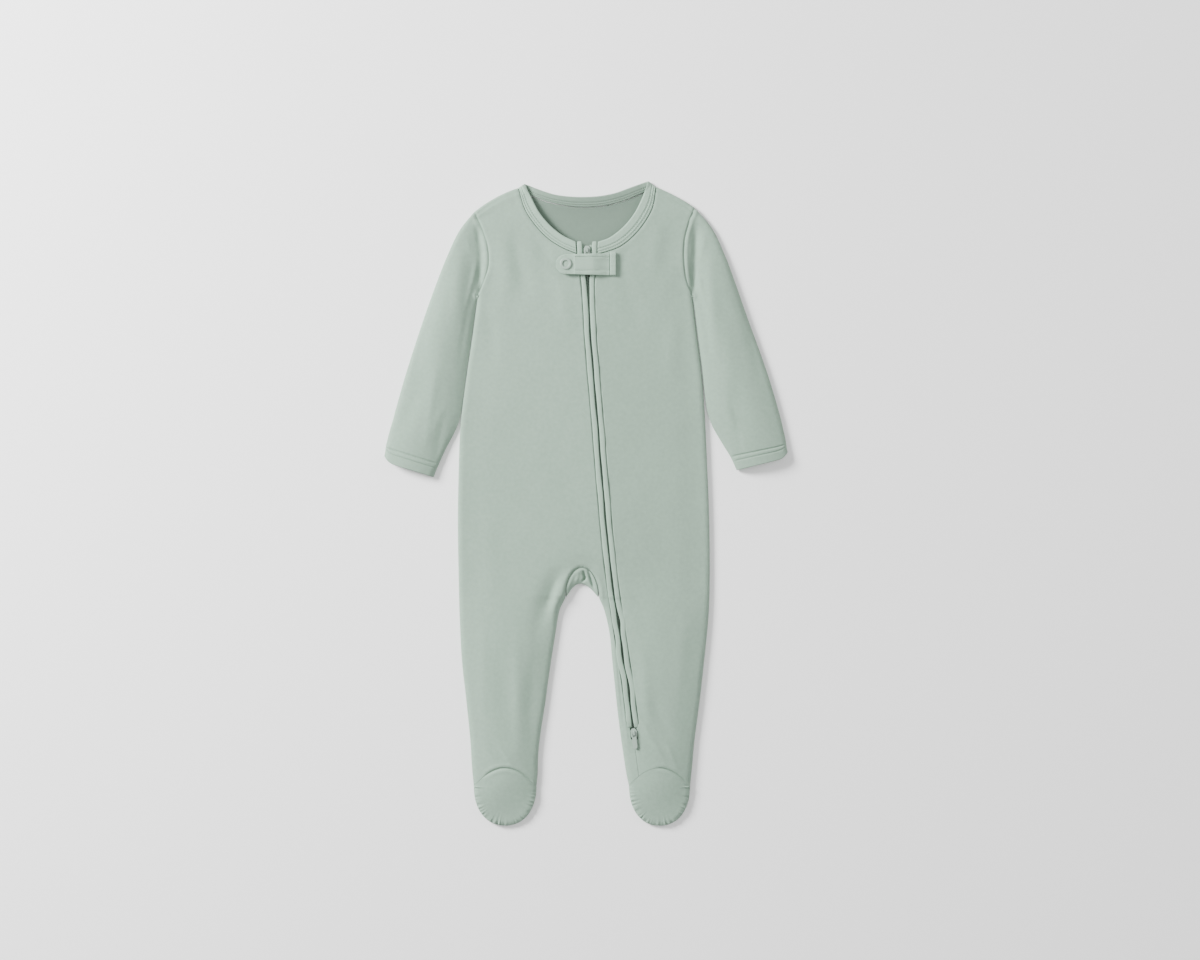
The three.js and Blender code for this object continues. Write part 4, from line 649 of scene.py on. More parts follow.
def mesh_piece(name, patches, outward, maps=None, ring=False, caps=False, weights=None):
    """A mesh from grids of points in millimetres. Shared points are joined, and faces turn outward.

    outward is "up", "down" or "round". maps holds each grid's pattern coordinates in metres, its plan if
    left out. weights holds each grid's weights for the wall.
    """
    points, coords, quads, first = [], [], [], 0
    for k, grid in enumerate(patches):
        rows, columns = grid.shape[:2]
        faces = grid_faces(rows, columns, ring) + first
        flat = grid.reshape(-1, 3)
        points.append(flat)
        coords.append((grid[..., :2] * MM if maps is None else maps[k]).reshape(-1, 2))
        a, b, c, d = (np.concatenate(points)[faces[:, n]] for n in range(4))
        normal = np.cross(c - a, d - b)
        middle = (a + b + c + d) / 4
        if outward == "round":
            centre = (flat.max(0) + flat.min(0)) / 2
            turned = (normal * (middle - centre))[:, 2].sum() < 0
        else:
            turned = normal[:, 2].sum() * (1 if outward == "up" else -1) < 0
        quads.append(faces[:, ::-1] if turned else faces)
        first += len(flat)
    points, coords, quads = np.concatenate(points), np.concatenate(coords), np.concatenate(quads)
    _, keep, merged = np.unique(np.round(points, 3), axis=0, return_index=True, return_inverse=True)
    merged = merged.reshape(-1)
    corner = merged[quads]
    same = corner == np.roll(corner, -1, axis=1)
    whole = quads[same.sum(1) == 0]
    thin = quads[same.sum(1) == 1]
    drop = same[same.sum(1) == 1]
    triangles = thin[~drop].reshape(-1, 3)
    faces = [*merged[whole].tolist(), *merged[triangles].tolist()]
    loops = np.concatenate([whole.reshape(-1), triangles.reshape(-1)])
    mesh = bpy.data.meshes.new(name)
    mesh.from_pydata((points[keep] * MM).tolist(), [], faces)
    layer = mesh.uv_layers.new(name="cloth_map")
    layer.data.foreach_set("uv", coords[loops].reshape(-1))
    obj = linked(name, mesh)
    if caps:
        turn_outward(mesh, filled=True)
    mesh.polygons.foreach_set("use_smooth", np.ones(len(mesh.polygons), bool))
    if weights is not None:
        group = obj.vertex_groups.new(name="wall")
        value = np.concatenate([w.reshape(-1) for w in weights])[keep]
        for level in np.unique(np.round(value, 2)):
            group.add(np.nonzero(np.round(value, 2) == level)[0].tolist(), float(level), "REPLACE")
    mesh.update()
    return obj


def turn_outward(mesh, filled=False):
    """Turns a closed mesh's faces outward, after its open ends are filled with a fan each if asked."""
    work = bmesh.new()
    work.from_mesh(mesh)
    if filled:
        bmesh.ops.holes_fill(work, edges=[e for e in work.edges if e.is_boundary], sides=0)
        bmesh.ops.triangulate(work, faces=[f for f in work.faces if len(f.verts) > 4])
    bmesh.ops.recalc_face_normals(work, faces=work.faces)
    work.to_mesh(mesh)
    work.free()


def thin_shell(obj, wall, grouped=False):
    """Gives a cloth surface its wall, inwards from the outside."""
    shell = obj.modifiers.new("wall", "SOLIDIFY")
    shell.thickness = wall * MM
    shell.offset = -1
    shell.use_rim = True
    if grouped:
        shell.vertex_group = "wall"
        shell.thickness_vertex_group = 0.5
    return obj


def place(obj, material, nodes=(), body=GARMENT):
    """Dresses a piece, hangs it on the body it rides on, and hides the parts it stands for."""
    obj.data.materials.clear()
    obj.data.materials.append(material)
    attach(obj, body)
    if nodes:
        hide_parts(*nodes)
    return obj


def loft_strip(name, middle, half, base, section, rows):
    """A closed strip along rows, with a closed section of (w, h).

    middle(rows) is its plan, half(rows) half of its width, and base(rows) its floor and its height.
    """
    w, h = section.T
    centre, size = middle(rows), half(rows)
    floor, height = base(rows)
    ahead = middle(rows + 0.5) - middle(rows - 0.5)
    direction = ahead / np.linalg.norm(ahead, axis=1)[:, None]
    side = np.stack([direction[:, 1], -direction[:, 0]], -1)
    plan = centre[:, None] + side[:, None] * (size[:, None] * w)[..., None]
    z = floor[:, None] + height[:, None] * h
    grid = np.concatenate([plan, z[..., None]], -1)
    turn = np.concatenate([[0], np.cumsum(np.hypot(np.diff(w), np.diff(h)))]) * size.mean()
    maps = np.stack(np.broadcast_arrays(turn[None] * MM, run_along(centre)[:, None] * MM), -1)
    return mesh_piece(name, [grid], "round", [maps], ring=True, caps=True)


def rounded_section(count, flat=0.55, bottom=0.0):
    """Closed section of a folded edge: a flattened ellipse with w from -1 to 1 and h from bottom to 1."""
    angle = np.linspace(0, 2 * np.pi, count, endpoint=False)
    w = squared(np.cos(angle), flat)
    h = bottom + (1 - bottom) * (0.5 + 0.5 * squared(np.sin(angle), flat))
    return np.stack([w, h], -1)


# along, thickness and lift of a stitch's rings, as shares of half of its length and of its radius
STITCH_RINGS = np.array([
    (-1, 0.35, -1.1), (-0.72, 0.85, -0.3), (0, 1, 0.25), (0.72, 0.85, -0.3), (1, 0.35, -1.1),
])
STITCH_SIDES = 6
STITCH_ENDS = np.array([[0, 1, 2, 3], [0, 3, 4, 5], [24, 27, 26, 25], [24, 29, 28, 27]])


def thread_rows(name, runs, pitch=2.3, length=1.75, radius=0.2):
    """Stitches as one mesh: each is a short bent capsule along its run, with its ends sunk in the cloth.

    runs is a list of (points, normals) along the seams, in millimetres.
    """
    ring = np.linspace(0, 2 * np.pi, STITCH_SIDES, endpoint=False)
    along, thick, sink = STITCH_RINGS.T
    lift = sink[:, None] * radius + thick[:, None] * radius * np.sin(ring)
    spread = thick[:, None] * radius * np.cos(ring)
    size = len(along) * STITCH_SIDES
    template = np.vstack([grid_faces(len(along), STITCH_SIDES, True)[:, ::-1], STITCH_ENDS])
    points, faces, first = [], [], 0
    for path, normals in runs:
        run = run_along(path)
        count = max(1, int(run[-1] / pitch))
        at = (np.arange(count) + 0.5) * run[-1] / count
        spot, up = sample(path, run, at), sample(normals, run, at)
        ahead = sample(path, run, at + 0.3) - sample(path, run, at - 0.3)
        ahead /= np.linalg.norm(ahead, axis=1)[:, None]
        up -= ahead * (up * ahead).sum(1)[:, None]
        up /= np.linalg.norm(up, axis=1)[:, None]
        side = np.cross(ahead, up)
        body = (
            spot[:, None, None]
            + ahead[:, None, None] * (along * length / 2)[None, :, None, None]
            + up[:, None, None] * lift[None, ..., None]
            + side[:, None, None] * spread[None, ..., None]
        )
        points.append(body.reshape(-1, 3))
        faces.append((template[None] + np.arange(count)[:, None, None] * size + first).reshape(-1, 4))
        first += count * size
    mesh = bpy.data.meshes.new(name)
    mesh.from_pydata((np.concatenate(points) * MM).tolist(), [], np.concatenate(faces).tolist())
    turn_outward(mesh)
    mesh.polygons.foreach_set("use_smooth", np.ones(len(mesh.polygons), bool))
    return linked(name, mesh)


# Materials

def node_group(name, inputs, outputs):
    """A shader node group with named inputs and outputs, built once."""
    group = bpy.data.node_groups.new(name, "ShaderNodeTree")
    for label, kind, default in inputs:
        socket = group.interface.new_socket(label, in_out="INPUT", socket_type=kind)
        if default is not None:
            socket.default_value = default
    for label, kind in outputs:
        group.interface.new_socket(label, in_out="OUTPUT", socket_type=kind)
    return group, group.nodes.new("NodeGroupInput"), group.nodes.new("NodeGroupOutput")


def wire(tree, kind, links=None, **settings):
    """Adds a node, sets its properties and links or fills its inputs."""
    node = tree.nodes.new(kind)
    for key, value in settings.items():
        setattr(node, key, value)
    for key, value in (links or {}).items():
        socket = node.inputs[key]
        if isinstance(value, bpy.types.NodeSocket):
            tree.links.new(value, socket)
        else:
            socket.default_value = value
    return node


def math_node(tree, operation, a, b=0.0, c=0.0):
    """One step of arithmetic."""
    return wire(tree, "ShaderNodeMath", {0: a, 1: b, 2: c}, operation=operation).outputs[0]


def noise(tree, source, scale, detail):
    """A noise on the group's Place."""
    values = {"Vector": source.outputs["Place"], "Scale": scale, "Detail": detail}
    return wire(tree, "ShaderNodeTexNoise", values).outputs["Fac"]


def finished_group(tree, source, sink, darker, rough, height):
    """Puts out the way from Colour to Shade by darker, the roughness and the height."""
    colours = {0: darker, 6: source.outputs["Colour"], 7: source.outputs["Shade"]}
    tint = wire(tree, "ShaderNodeMix", colours, data_type="RGBA", clamp_factor=True)
    tree.links.new(tint.outputs[2], sink.inputs["Colour"])
    tree.links.new(rough, sink.inputs["Roughness"])
    tree.links.new(height, sink.inputs["Height"])
    return tree


PLACE_AND_COLOURS = [
    ("Place", "NodeSocketVector", None),
    ("Colour", "NodeSocketColor", (0.4, 0.5, 0.4, 1)),
    ("Shade", "NodeSocketColor", (0.3, 0.4, 0.3, 1)),
]
FINISH = [("Colour", "NodeSocketColor"), ("Roughness", "NodeSocketFloat"), ("Height", "NodeSocketFloat")]


def knit_group():
    """Plain knit: columns of small V-shaped loops on the piece's own map, with uneven yarn and dye, and
    painted shade between the loops.

    A loop is |sin(2 pi column)| times 0.7 + 0.3 sin(2 pi row), and a zigzag of the column shifts the row.
    """
    inputs = [
        ("Map", "NodeSocketVector", None), *PLACE_AND_COLOURS,
        ("Columns", "NodeSocketFloat", 1400.0), ("Rows", "NodeSocketFloat", 1700.0),
    ]
    group, source, sink = node_group("plain_knit", inputs, FINISH)
    spots = wire(group, "ShaderNodeSeparateXYZ", {0: source.outputs["Map"]})
    column = math_node(group, "MULTIPLY", spots.outputs["X"], source.outputs["Columns"])
    zigzag = math_node(group, "PINGPONG", column, 0.5)
    row = math_node(group, "MULTIPLY_ADD", spots.outputs["Y"], source.outputs["Rows"], zigzag)
    leg = math_node(group, "SINE", math_node(group, "MULTIPLY", column, 2 * math.pi))
    leg = math_node(group, "ABSOLUTE", leg)
    loop = math_node(group, "SINE", math_node(group, "MULTIPLY", row, 2 * math.pi))
    loop = math_node(group, "MULTIPLY_ADD", loop, 0.3, 0.7)
    knit = math_node(group, "MULTIPLY", leg, loop)
    yarn = noise(group, source, 300.0, 5.0)
    dye = noise(group, source, 11.0, 2.0)
    dye_and_painted_loop_shade = math_node(group, "MULTIPLY_ADD", yarn, 0.7, math_node(group, "MULTIPLY", dye, 0.35))
    # painted shade: the colour goes towards Shade between the loops, where the knit is low
    dye_and_painted_loop_shade = math_node(group, "MULTIPLY_ADD", knit, -0.28, dye_and_painted_loop_shade)
    rough = math_node(group, "MULTIPLY_ADD", yarn, 0.14, 0.8)
    height = math_node(group, "MULTIPLY_ADD", yarn, 0.35, knit)
    return finished_group(group, source, sink, dye_and_painted_loop_shade, rough, height)


def worn_group():
    """Moulded and painted parts: faint specks and a little wear, on object coordinates."""
    inputs = [*PLACE_AND_COLOURS, ("Base", "NodeSocketFloat", 0.4)]
    group, source, sink = node_group("fine_specks", inputs, FINISH)
    specks = noise(group, source, 900.0, 4.0)
    rubs = noise(group, source, 160.0, 2.0)
    rough = math_node(group, "MULTIPLY_ADD", rubs, 0.2, source.outputs["Base"])
    return finished_group(group, source, sink, rubs, rough, specks)


def shaded(colour, share):
    """A colour made lighter or darker by a share."""
    return (*[c * share for c in colour[:3]], 1.0)


def finish_material(name, group, values, colour, depth, sheen=0.0, bump=0.4, specular=0.3):
    """A Principled material whose colour, roughness and bump come from one of the groups."""
    material = bpy.data.materials.new(name)
    material.use_nodes = True
    tree = material.node_tree
    shader = tree.nodes["Principled BSDF"]
    place_node = tree.nodes.new("ShaderNodeTexCoord")
    inner = wire(tree, "ShaderNodeGroup", node_tree=group)
    tree.links.new(place_node.outputs["Object"], inner.inputs["Place"])
    if "Map" in inner.inputs:
        cloth_map = wire(tree, "ShaderNodeUVMap", uv_map="cloth_map")
        tree.links.new(cloth_map.outputs["UV"], inner.inputs["Map"])
    inner.inputs["Colour"].default_value = (*colour[:3], 1)
    for key, value in values.items():
        inner.inputs[key].default_value = value
    values = {"Strength": bump, "Distance": depth * MM, "Height": inner.outputs["Height"]}
    relief = wire(tree, "ShaderNodeBump", values)
    tree.links.new(inner.outputs["Colour"], shader.inputs["Base Color"])
    tree.links.new(inner.outputs["Roughness"], shader.inputs["Roughness"])
    tree.links.new(relief.outputs["Normal"], shader.inputs["Normal"])
    shader.inputs["Specular IOR Level"].default_value = specular
    if sheen:
        shader.inputs["Sheen Weight"].default_value = sheen
        shader.inputs["Sheen Roughness"].default_value = 0.55
        shader.inputs["Sheen Tint"].default_value = (*[min(1, c * 1.5) for c in colour[:3]], 1)
    return material


# share of the cloth's colour, share of that in the shade, depth of the relief in millimetres, sheen, and
# loops in a metre where they aren't the panel's
KNIT_FINISHES = {
    "sage_jersey": (1.04, 0.7, 0.25, 0.18, None),
    # the cloth's inside at 0.6 of its colour is painted shade, for the inside of the back seen through the
    # neck opening
    "sage_reverse": (0.6, 0.84, 0.3, 0.1, None),
    # the folded edges at 1.14 of the colour are a painted highlight on welts, binding and tab
    "sage_folded_jersey": (1.14, 0.84, 0.25, 0.2, None),
    # the binding's inside behind the neck at 0.8 of the colour is painted shade
    "sage_folded_reverse": (0.8, 0.84, 0.25, 0.1, None),
    "sage_tape": (0.92, 0.8, 0.2, 0.1, 2200.0),
}
# whose colour, its share, share of that in the shade, roughness, depth of the relief, sheen and specular
SPECK_FINISHES = {
    # the thread at 0.8 of the cloth's colour is painted shade: it darkens the rows of stitches as the shade
    # in their grooves would
    "sage_thread": ("sleepsuit_cloth", 0.8, 0.86, 0.55, 0.05, 0.1, 0.3),
    "sage_coil": ("sleepsuit_zip", 0.85, 0.9412, 0.35, 0.05, 0.0, 0.3),
    "sage_paint": ("sleepsuit_zip", 1.0, 0.88, 0.3, 0.04, 0.0, 0.5),
}


def material_named(name):
    """The finish of that name, made on its first use from its table and the panel's colours."""
    if name in bpy.data.materials:
        return bpy.data.materials[name]
    if name in KNIT_FINISHES:
        share, shade, depth, sheen, loops = KNIT_FINISHES[name]
        colour = shaded(cloth().colour, share)
        values = {
            "Columns": loops or cloth().columns * 100.0, "Rows": loops or cloth().rows * 100.0,
            "Shade": shaded(colour, shade),
        }
        group = bpy.data.node_groups.get("plain_knit") or knit_group()
        return finish_material(name, group, values, colour, depth, sheen)
    settings, share, shade, rough, depth, sheen, specular = SPECK_FINISHES[name]
    colour = shaded(getattr(bpy.context.scene, settings).colour, share)
    values = {"Shade": shaded(colour, shade), "Base": rough}
    group = bpy.data.node_groups.get("fine_specks") or worn_group()
    return finish_material(name, group, values, colour, depth, sheen, specular=specular)


# Cloth pieces

SHOULDER_ROWS = graded(44, 0.85, 0.0)
TORSO_ROWS = np.linspace(UNDERARM_Y, GUSSET_Y, 150)[1:]
OUTER_COLUMNS = graded(64, 0.9, 0.0)
SEAM_TOP = GUSSET_Y + SEAM_RISE
BEND_FADE = 3


def between(top, bottom, start, end, across_shares, down_shares):
    """Plan points between four edges: straight from top to bottom, bent as the start and end edges are.

    Their bends fade away from them with the cube of the share, so that no row crosses a steep top edge.
    """
    u, v = across_shares[None, :, None], down_shares[:, None, None]
    start_bend = start - across(start[0], start[-1], down_shares)
    end_bend = end - across(end[0], end[-1], down_shares)
    straight = lerp(top[None], bottom[None], v)
    return straight + (1 - u) ** BEND_FADE * start_bend[:, None] + u**BEND_FADE * end_bend[:, None]


def leg_rows(count):
    """Side and middle heights of the rows down a leg, which bend more and more like the toe cap's seam."""
    side = lerp(GUSSET_Y, FOOT_Y, graded(count, 0.0, 0.6))[1:]
    return side, np.interp(side, LEG_BENDS[:, 0], LEG_BENDS[:, 1])


def zip_share(side_y, middle_y, sign, steps=30, damping=0.6):
    """Share across the left leg where the zip's slot begins on each row, found by damped substitution."""
    t = np.full(side_y.shape, 0.7)
    for _ in range(steps):
        y = lerp(side_y, middle_y, cap_bend(t))
        outer, inner = body_edge["left"](y), inseam["left"](y)
        t = lerp(t, (beside_zip(y, sign) - outer) / (inner - outer), damping)
    return t


def grid_row(start, end, shares, y):
    """Plan points on level rows at heights y, at shares from start to end."""
    return np.stack(np.broadcast_arrays(lerp(start, end, shares), y), -1)


def torso_top(side, columns, neck_at, seam):
    """Plan points down the shoulder's seam up to the column share neck_at, then along the neck's seam."""
    at_shoulder = shoulder[side].at(1 - np.minimum(columns / neck_at, 1))
    return np.where((columns <= neck_at)[:, None], at_shoulder, seam)


def front_upper(side, columns, neck_at, rows):
    """Plan points of a front panel from the shoulder and neck down to the underarm."""
    sign = -1 if side == "right" else 1
    top = torso_top(side, columns, neck_at, neck_seam[side].at((columns - neck_at) / (1 - neck_at)))
    down = lerp(top[-1, 1], UNDERARM_Y, rows)
    end = np.stack([beside_zip(down, sign), down], -1)
    top[-1] = end[0]
    bottom = grid_row(body_edge[side](UNDERARM_Y), end[-1, 0], columns, UNDERARM_Y)
    return between(top, bottom, armhole[side].at(rows), end, columns, rows)


def make_front_left(creases):
    """Grid of the left front: shoulder to toe cap in one strip."""
    neck_at = 0.3
    columns = np.unique(np.concatenate([OUTER_COLUMNS * neck_at, lerp(neck_at, 1, np.linspace(0, 1, 50))]))
    upper = front_upper("left", columns, neck_at, SHOULDER_ROWS)
    y = TORSO_ROWS[:, None]
    torso = grid_row(body_edge["left"](y), beside_zip(y, 1), columns, y)
    side, middle = leg_rows(100)
    shares = columns * zip_share(side, middle, 1)[:, None]
    legs = leg_point("left", side[:, None], middle[:, None], shares, cap_bend)
    return front_layer(np.concatenate([upper, torso, legs]), creases)[0]


def make_front_right(creases):
    """Two grids of the right front: torso and right leg, and the strip down the zip's right side."""
    split, neck_at = 0.82, 0.41
    outer = np.concatenate([OUTER_COLUMNS * neck_at, lerp(neck_at, split, graded(36, 0.0, 0.8))])
    columns = np.unique(np.concatenate([outer, lerp(split, 1, np.linspace(0, 1, 14))]))
    cut = int(np.argmin(np.abs(columns - split)))
    upper = front_upper("right", columns, neck_at, SHOULDER_ROWS)
    leg_shares = columns[: cut + 1] / columns[cut]
    strip_shares = (columns[cut:] - columns[cut]) / (1 - columns[cut])
    rows = np.linspace(UNDERARM_Y, SEAM_TOP, 134)[1:]
    straight = lerp(body_edge["right"](rows), beside_zip(rows, -1), columns[cut])
    middle = lerp(GUSSET_X, straight, smooth(SEAM_TOP, UNDERARM_Y, rows))
    arch = gusset_seam(np.linspace(np.pi / 2, 0, 24)[1:])
    y = np.concatenate([rows, arch[:, 1]])[:, None]
    leg_end = np.concatenate([middle, 2 * GUSSET_X - arch[:, 0]])[:, None]
    strip_start = np.concatenate([middle, arch[:, 0]])[:, None]
    leg = grid_row(body_edge["right"](y), leg_end, leg_shares, y)
    strip = grid_row(strip_start, beside_zip(y, -1), strip_shares, y)
    side_y, middle_y = leg_rows(100)
    lower = leg_point("right", side_y[:, None], middle_y[:, None], leg_shares[None], cap_bend)
    start = zip_share(side_y, middle_y, -1)[:, None]
    beside = leg_point("left", side_y[:, None], middle_y[:, None], lerp(1, start, strip_shares), cap_bend)
    return [
        front_layer(np.concatenate([upper[:, : cut + 1], leg, lower]), creases)[0],
        front_layer(np.concatenate([upper[:, cut:], strip, beside]), creases)[0],
    ]


def back_middle(y):
    """Where the back's halves meet: halfway across the torso, and over the gusset's middle lower down."""
    halfway = (body_edge["right"](y) + body_edge["left"](y)) / 2
    return lerp(GUSSET_X, halfway, smooth(SEAM_TOP, UNDERARM_Y, y))


def make_back():
    """Two grids of the back, one for each half, parted below by the gusset."""
    neck_at = 0.62
    inner = lerp(neck_at, 1, graded(28, 0.0, 0.9))
    columns = np.unique(np.concatenate([graded(40, 0.9, 0.0) * neck_at, inner]))
    share = (columns - neck_at) / (1 - neck_at) / 2
    rows = np.linspace(UNDERARM_Y, SEAM_TOP, 90)[1:]
    arch = gusset_seam(np.linspace(np.pi / 2, 0, 24)[1:])
    y = np.concatenate([rows, arch[:, 1]])[:, None]
    side_y = np.linspace(GUSSET_Y, FOOT_Y, 60)[1:]
    middle_y = np.interp(side_y, HEEL_BENDS[:, 0], HEEL_BENDS[:, 1])
    halves = []
    for side in SIDES:
        top = torso_top(side, columns, neck_at, back_neck_seam.at(share if side == "right" else 1 - share))
        bottom = grid_row(body_edge[side](UNDERARM_Y), back_middle(UNDERARM_Y), columns, UNDERARM_Y)
        centre = across(top[-1], bottom[-1], SHOULDER_ROWS)
        upper = between(top, bottom, armhole[side].at(SHOULDER_ROWS), centre, columns, SHOULDER_ROWS)
        ends = arch[:, 0] if side == "left" else 2 * GUSSET_X - arch[:, 0]
        end = np.concatenate([back_middle(rows), ends])[:, None]
        torso = grid_row(body_edge[side](y), end, columns, y)
        legs = leg_point(side, side_y[:, None], middle_y[:, None], columns[None], heel_bend)
        halves.append(back_layer(np.concatenate([upper, torso, legs]))[0])
    return halves


def sleeve_plan(side, s, w):
    """Plan point of a sleeve at section s and share w from the outer to the inner edge."""
    sign = -1 if side == "right" else 1
    seam = armhole[side].beside(w, -sign * LAYER_GAP)
    chord = across(sleeve_outer[side].knot(s), sleeve_inner[side].knot(s), w)
    straight = across(seam[..., :1, :], seam[..., -1:, :], w)
    bow = np.clip(1 - s / (LAST_SECTION * BOW_LENGTH), 0, 1) ** 2
    corner = np.clip(1 - w / HEM_CORNER_SHARE, 0, 1) ** 2 * smooth(HEM_SECTION - 0.5, LAST_SECTION, s)
    shift = np.array([-sign * HEM_CORNER_X, HEM_CORNER_Y])
    plan = chord + bow[..., None] * (seam - straight) + corner[..., None] * shift
    return np.where((s == 0)[..., None], seam, plan)


def sleeve_layers(side, s, w):
    """Outside of a sleeve's upper and lower layer at sections s and shares w, with the way each faces.

    Along its inner fold the upper layer hardly rolls: it slopes down under the torso's edge.
    """
    outline = [TOP_OUTLINE[side], SLEEVE_INNER_OUTLINE[side]]
    p = sleeve_plan(side, s, w)
    full = SLEEVE_CROWN * smooth(0, CROWN_SECTION, s)
    turned = smooth(HEM_SECTION - HEM_FOLD, HEM_SECTION, s)
    groove = sum(
        depth * np.exp(-(((s - HEM_SECTION - at) / width) ** 2)) for depth, at, width in HEM_GROOVES
    )
    width = np.linalg.norm(sleeve_outer[side].knot(s) - sleeve_inner[side].knot(s), axis=-1)
    inner = (1 - w) * width
    flat = INNER_FLAT * np.exp(-inner / INNER_FLAT_REACH) * smooth(0, 1, s) * smooth(10, 7.5, s)

    def rise(q, distance):
        soft = folds(SLEEVE_FOLDS, q) + folds(SLEEVE_CREASES, q) + crumple(q, SLEEVE_CRUMPLE)
        soft = (soft + HEM_STEP * turned - groove) * smooth(0, FRONT_ROLL_WIDTH, distance)
        soft += seam_relief(q, FRONT_SEAMS["armhole_" + side], 0.7, 0.5, 0.7)
        soft += gathers(q, FRONT_SEAMS["armhole_" + side], *SLEEVE_ARMHOLE_PUCKERS)
        soft -= flat * FRONT_ROLL_RISE * roll(distance, FRONT_ROLL_WIDTH)[1]
        return full * 4 * w * (1 - w) + soft

    return upper_layer(p, outline, rise), lower_layer(p, outline)


def make_sleeve(name, side):
    """A flattened tube of rings from the armhole to the hem, with its own map along the sleeve."""
    sections = np.unique(np.concatenate([
        np.linspace(0, 1, 26) ** 1.4, np.linspace(1, 9.6, 118),
        np.linspace(9.6, 10.5, 40), np.linspace(10.5, LAST_SECTION, 8),
    ]))
    shares = graded(56, 0.9, 0.9, 0.08)
    s, w = np.meshgrid(sections, shares, indexing="ij")
    (upper, _), (lower, _) = sleeve_layers(side, s, w)
    grid = np.concatenate([upper, lower[:, ::-1]], 1)
    width = np.linalg.norm(sleeve_outer[side].knot(sections) - sleeve_inner[side].knot(sections), axis=1)
    length = np.interp(sections, [0, LAST_SECTION], [0, SLEEVE_LENGTH])
    round_way = np.concatenate([w, 2 - w[:, ::-1]], 1) * width[:, None]
    maps = np.stack(np.broadcast_arrays(round_way * MM, length[:, None] * MM), -1)
    hem = np.where(sections > HEM_SECTION - HEM_FOLD / 2, 1.0, SLEEVE_WALL_WEIGHT)
    weights = [np.broadcast_to(hem[:, None], grid.shape[:2])]
    obj = mesh_piece(name, [grid], "round", [maps], ring=True, weights=weights)
    return thin_shell(obj, HEM_WALL, grouped=True)


def from_middle(outline, middle, layer, rings):
    """Rings of plan points between a middle and an outline, laid on a layer."""
    plan = np.asarray(middle)[None, None] + (outline[None] - middle) * rings[:, None, None]
    return layer(plan)[0]


def make_toe_cap(side):
    """The toe cap: rings that end on its arc seam and on the toe's edge."""
    t = graded(70, 0.9, 0.9)
    arc = leg_point(side, FOOT_Y, FOOT_Y + CAP_RISE, t, cap_bend) - (0, CLOSED_SEAM)
    toe = toe_edge(side, np.linspace(0, np.pi, 150)[1:-1])
    middle = ((body_edge[side](FOOT_Y) + inseam[side](FOOT_Y)) / 2, FOOT_Y - CAP_RISE / 2)
    return from_middle(np.vstack([arc, toe]), middle, front_layer, graded(36, 0.0, 0.9, 0.1))


def make_sole(side):
    """The sole: rings that end on the heel's seam and on the toe's edge."""
    shares = graded(80, 0.9, 0.9)
    heel = PlanCurve(leg_point(side, FOOT_Y, FOOT_Y + HEEL_RISE, shares, heel_bend))
    points = heel.beside(shares, TURNING_GAP if side == "left" else -TURNING_GAP)
    toe = toe_edge(side, np.linspace(0, np.pi, 120)[1:-1])
    middle = ((body_edge[side](FOOT_Y) + inseam[side](FOOT_Y)) / 2, FOOT_Y + HEEL_RISE / 4)

    def layer(p):
        xyz, normal = back_layer(p)
        xyz[..., 2] += np.maximum(0, gathers(p, TOE_SEAMS[side], *SOLE_PUCKERS))
        return xyz, normal

    return from_middle(np.vstack([points, toe]), middle, layer, graded(34, 0.0, 0.9, 0.1))


def make_gusset():
    """The gusset: rows from its front seam over the crotch's edge to its back seam."""
    low = math.radians(18)
    angle = np.linspace(low, np.pi - low, 60)
    seam, edge = gusset_seam(angle), crotch_edge(np.clip(angle, GUSSET_TIP, np.pi - GUSSET_TIP))
    inwards = np.stack([-np.cos(angle) / GUSSET_HALF, -np.sin(angle) / SEAM_RISE], -1)
    inwards *= (lerp(TURNING_GAP, LAYER_GAP, np.sin(angle)) / np.linalg.norm(inwards, axis=1))[:, None]
    steps = graded(24, 0.0, 0.93, 0.1)
    plan = across((seam + inwards)[:, None], edge[:, None], np.broadcast_to(steps, (len(angle), len(steps))))
    over, under = front_layer(plan)[0], back_layer(plan)[0]
    return np.concatenate([over, under[:, ::-1]], 1)


BINDING_FOLD = np.linspace(0.2, np.pi, 12)
BINDING_PROFILE = np.vstack([
    np.stack([np.linspace(0, 0.86, 26), np.ones(26)], -1),
    np.stack([0.86 + 0.14 * np.sin(BINDING_FOLD), 0.5 + 0.5 * np.cos(BINDING_FOLD)], -1),
    np.stack([np.linspace(0.8, 0, 26), np.zeros(26)], -1),
])
BINDING_STITCHES = (0.18, 0.42)
BINDING_MAP_COLUMN = 10
BINDING_DENT, BINDING_EDGE_DENT, BINDING_DENT_WIDTH, BINDING_REACH = 0.5, 0.4, 0.05, 10.2


def binding_ring(seam, free, layer, step, inside=0.0):
    """Rings of the binding's section, set off the layer along the way that it faces.

    inside is the share of the dents under the stitches that the piece has on its inner face too.
    """
    w, h = BINDING_PROFILE[:, 0], BINDING_PROFILE[:, 1]
    plan = across(seam[:, None], free[:, None], np.broadcast_to(w, (len(seam), len(w))))
    xyz, normal = layer(plan)
    dent = sum(
        BINDING_DENT * np.exp(-(((w - line) / BINDING_DENT_WIDTH) ** 2)) for line in BINDING_STITCHES
    )
    dent = dent + BINDING_EDGE_DENT * np.exp(-((w / BINDING_DENT_WIDTH) ** 2))
    low = step[:, None] - BINDING_WALL + dent * inside * (h == 0)
    lift = lerp(low, step[:, None] - dent * (h == 1), h)
    return xyz + normal * lift[..., None]


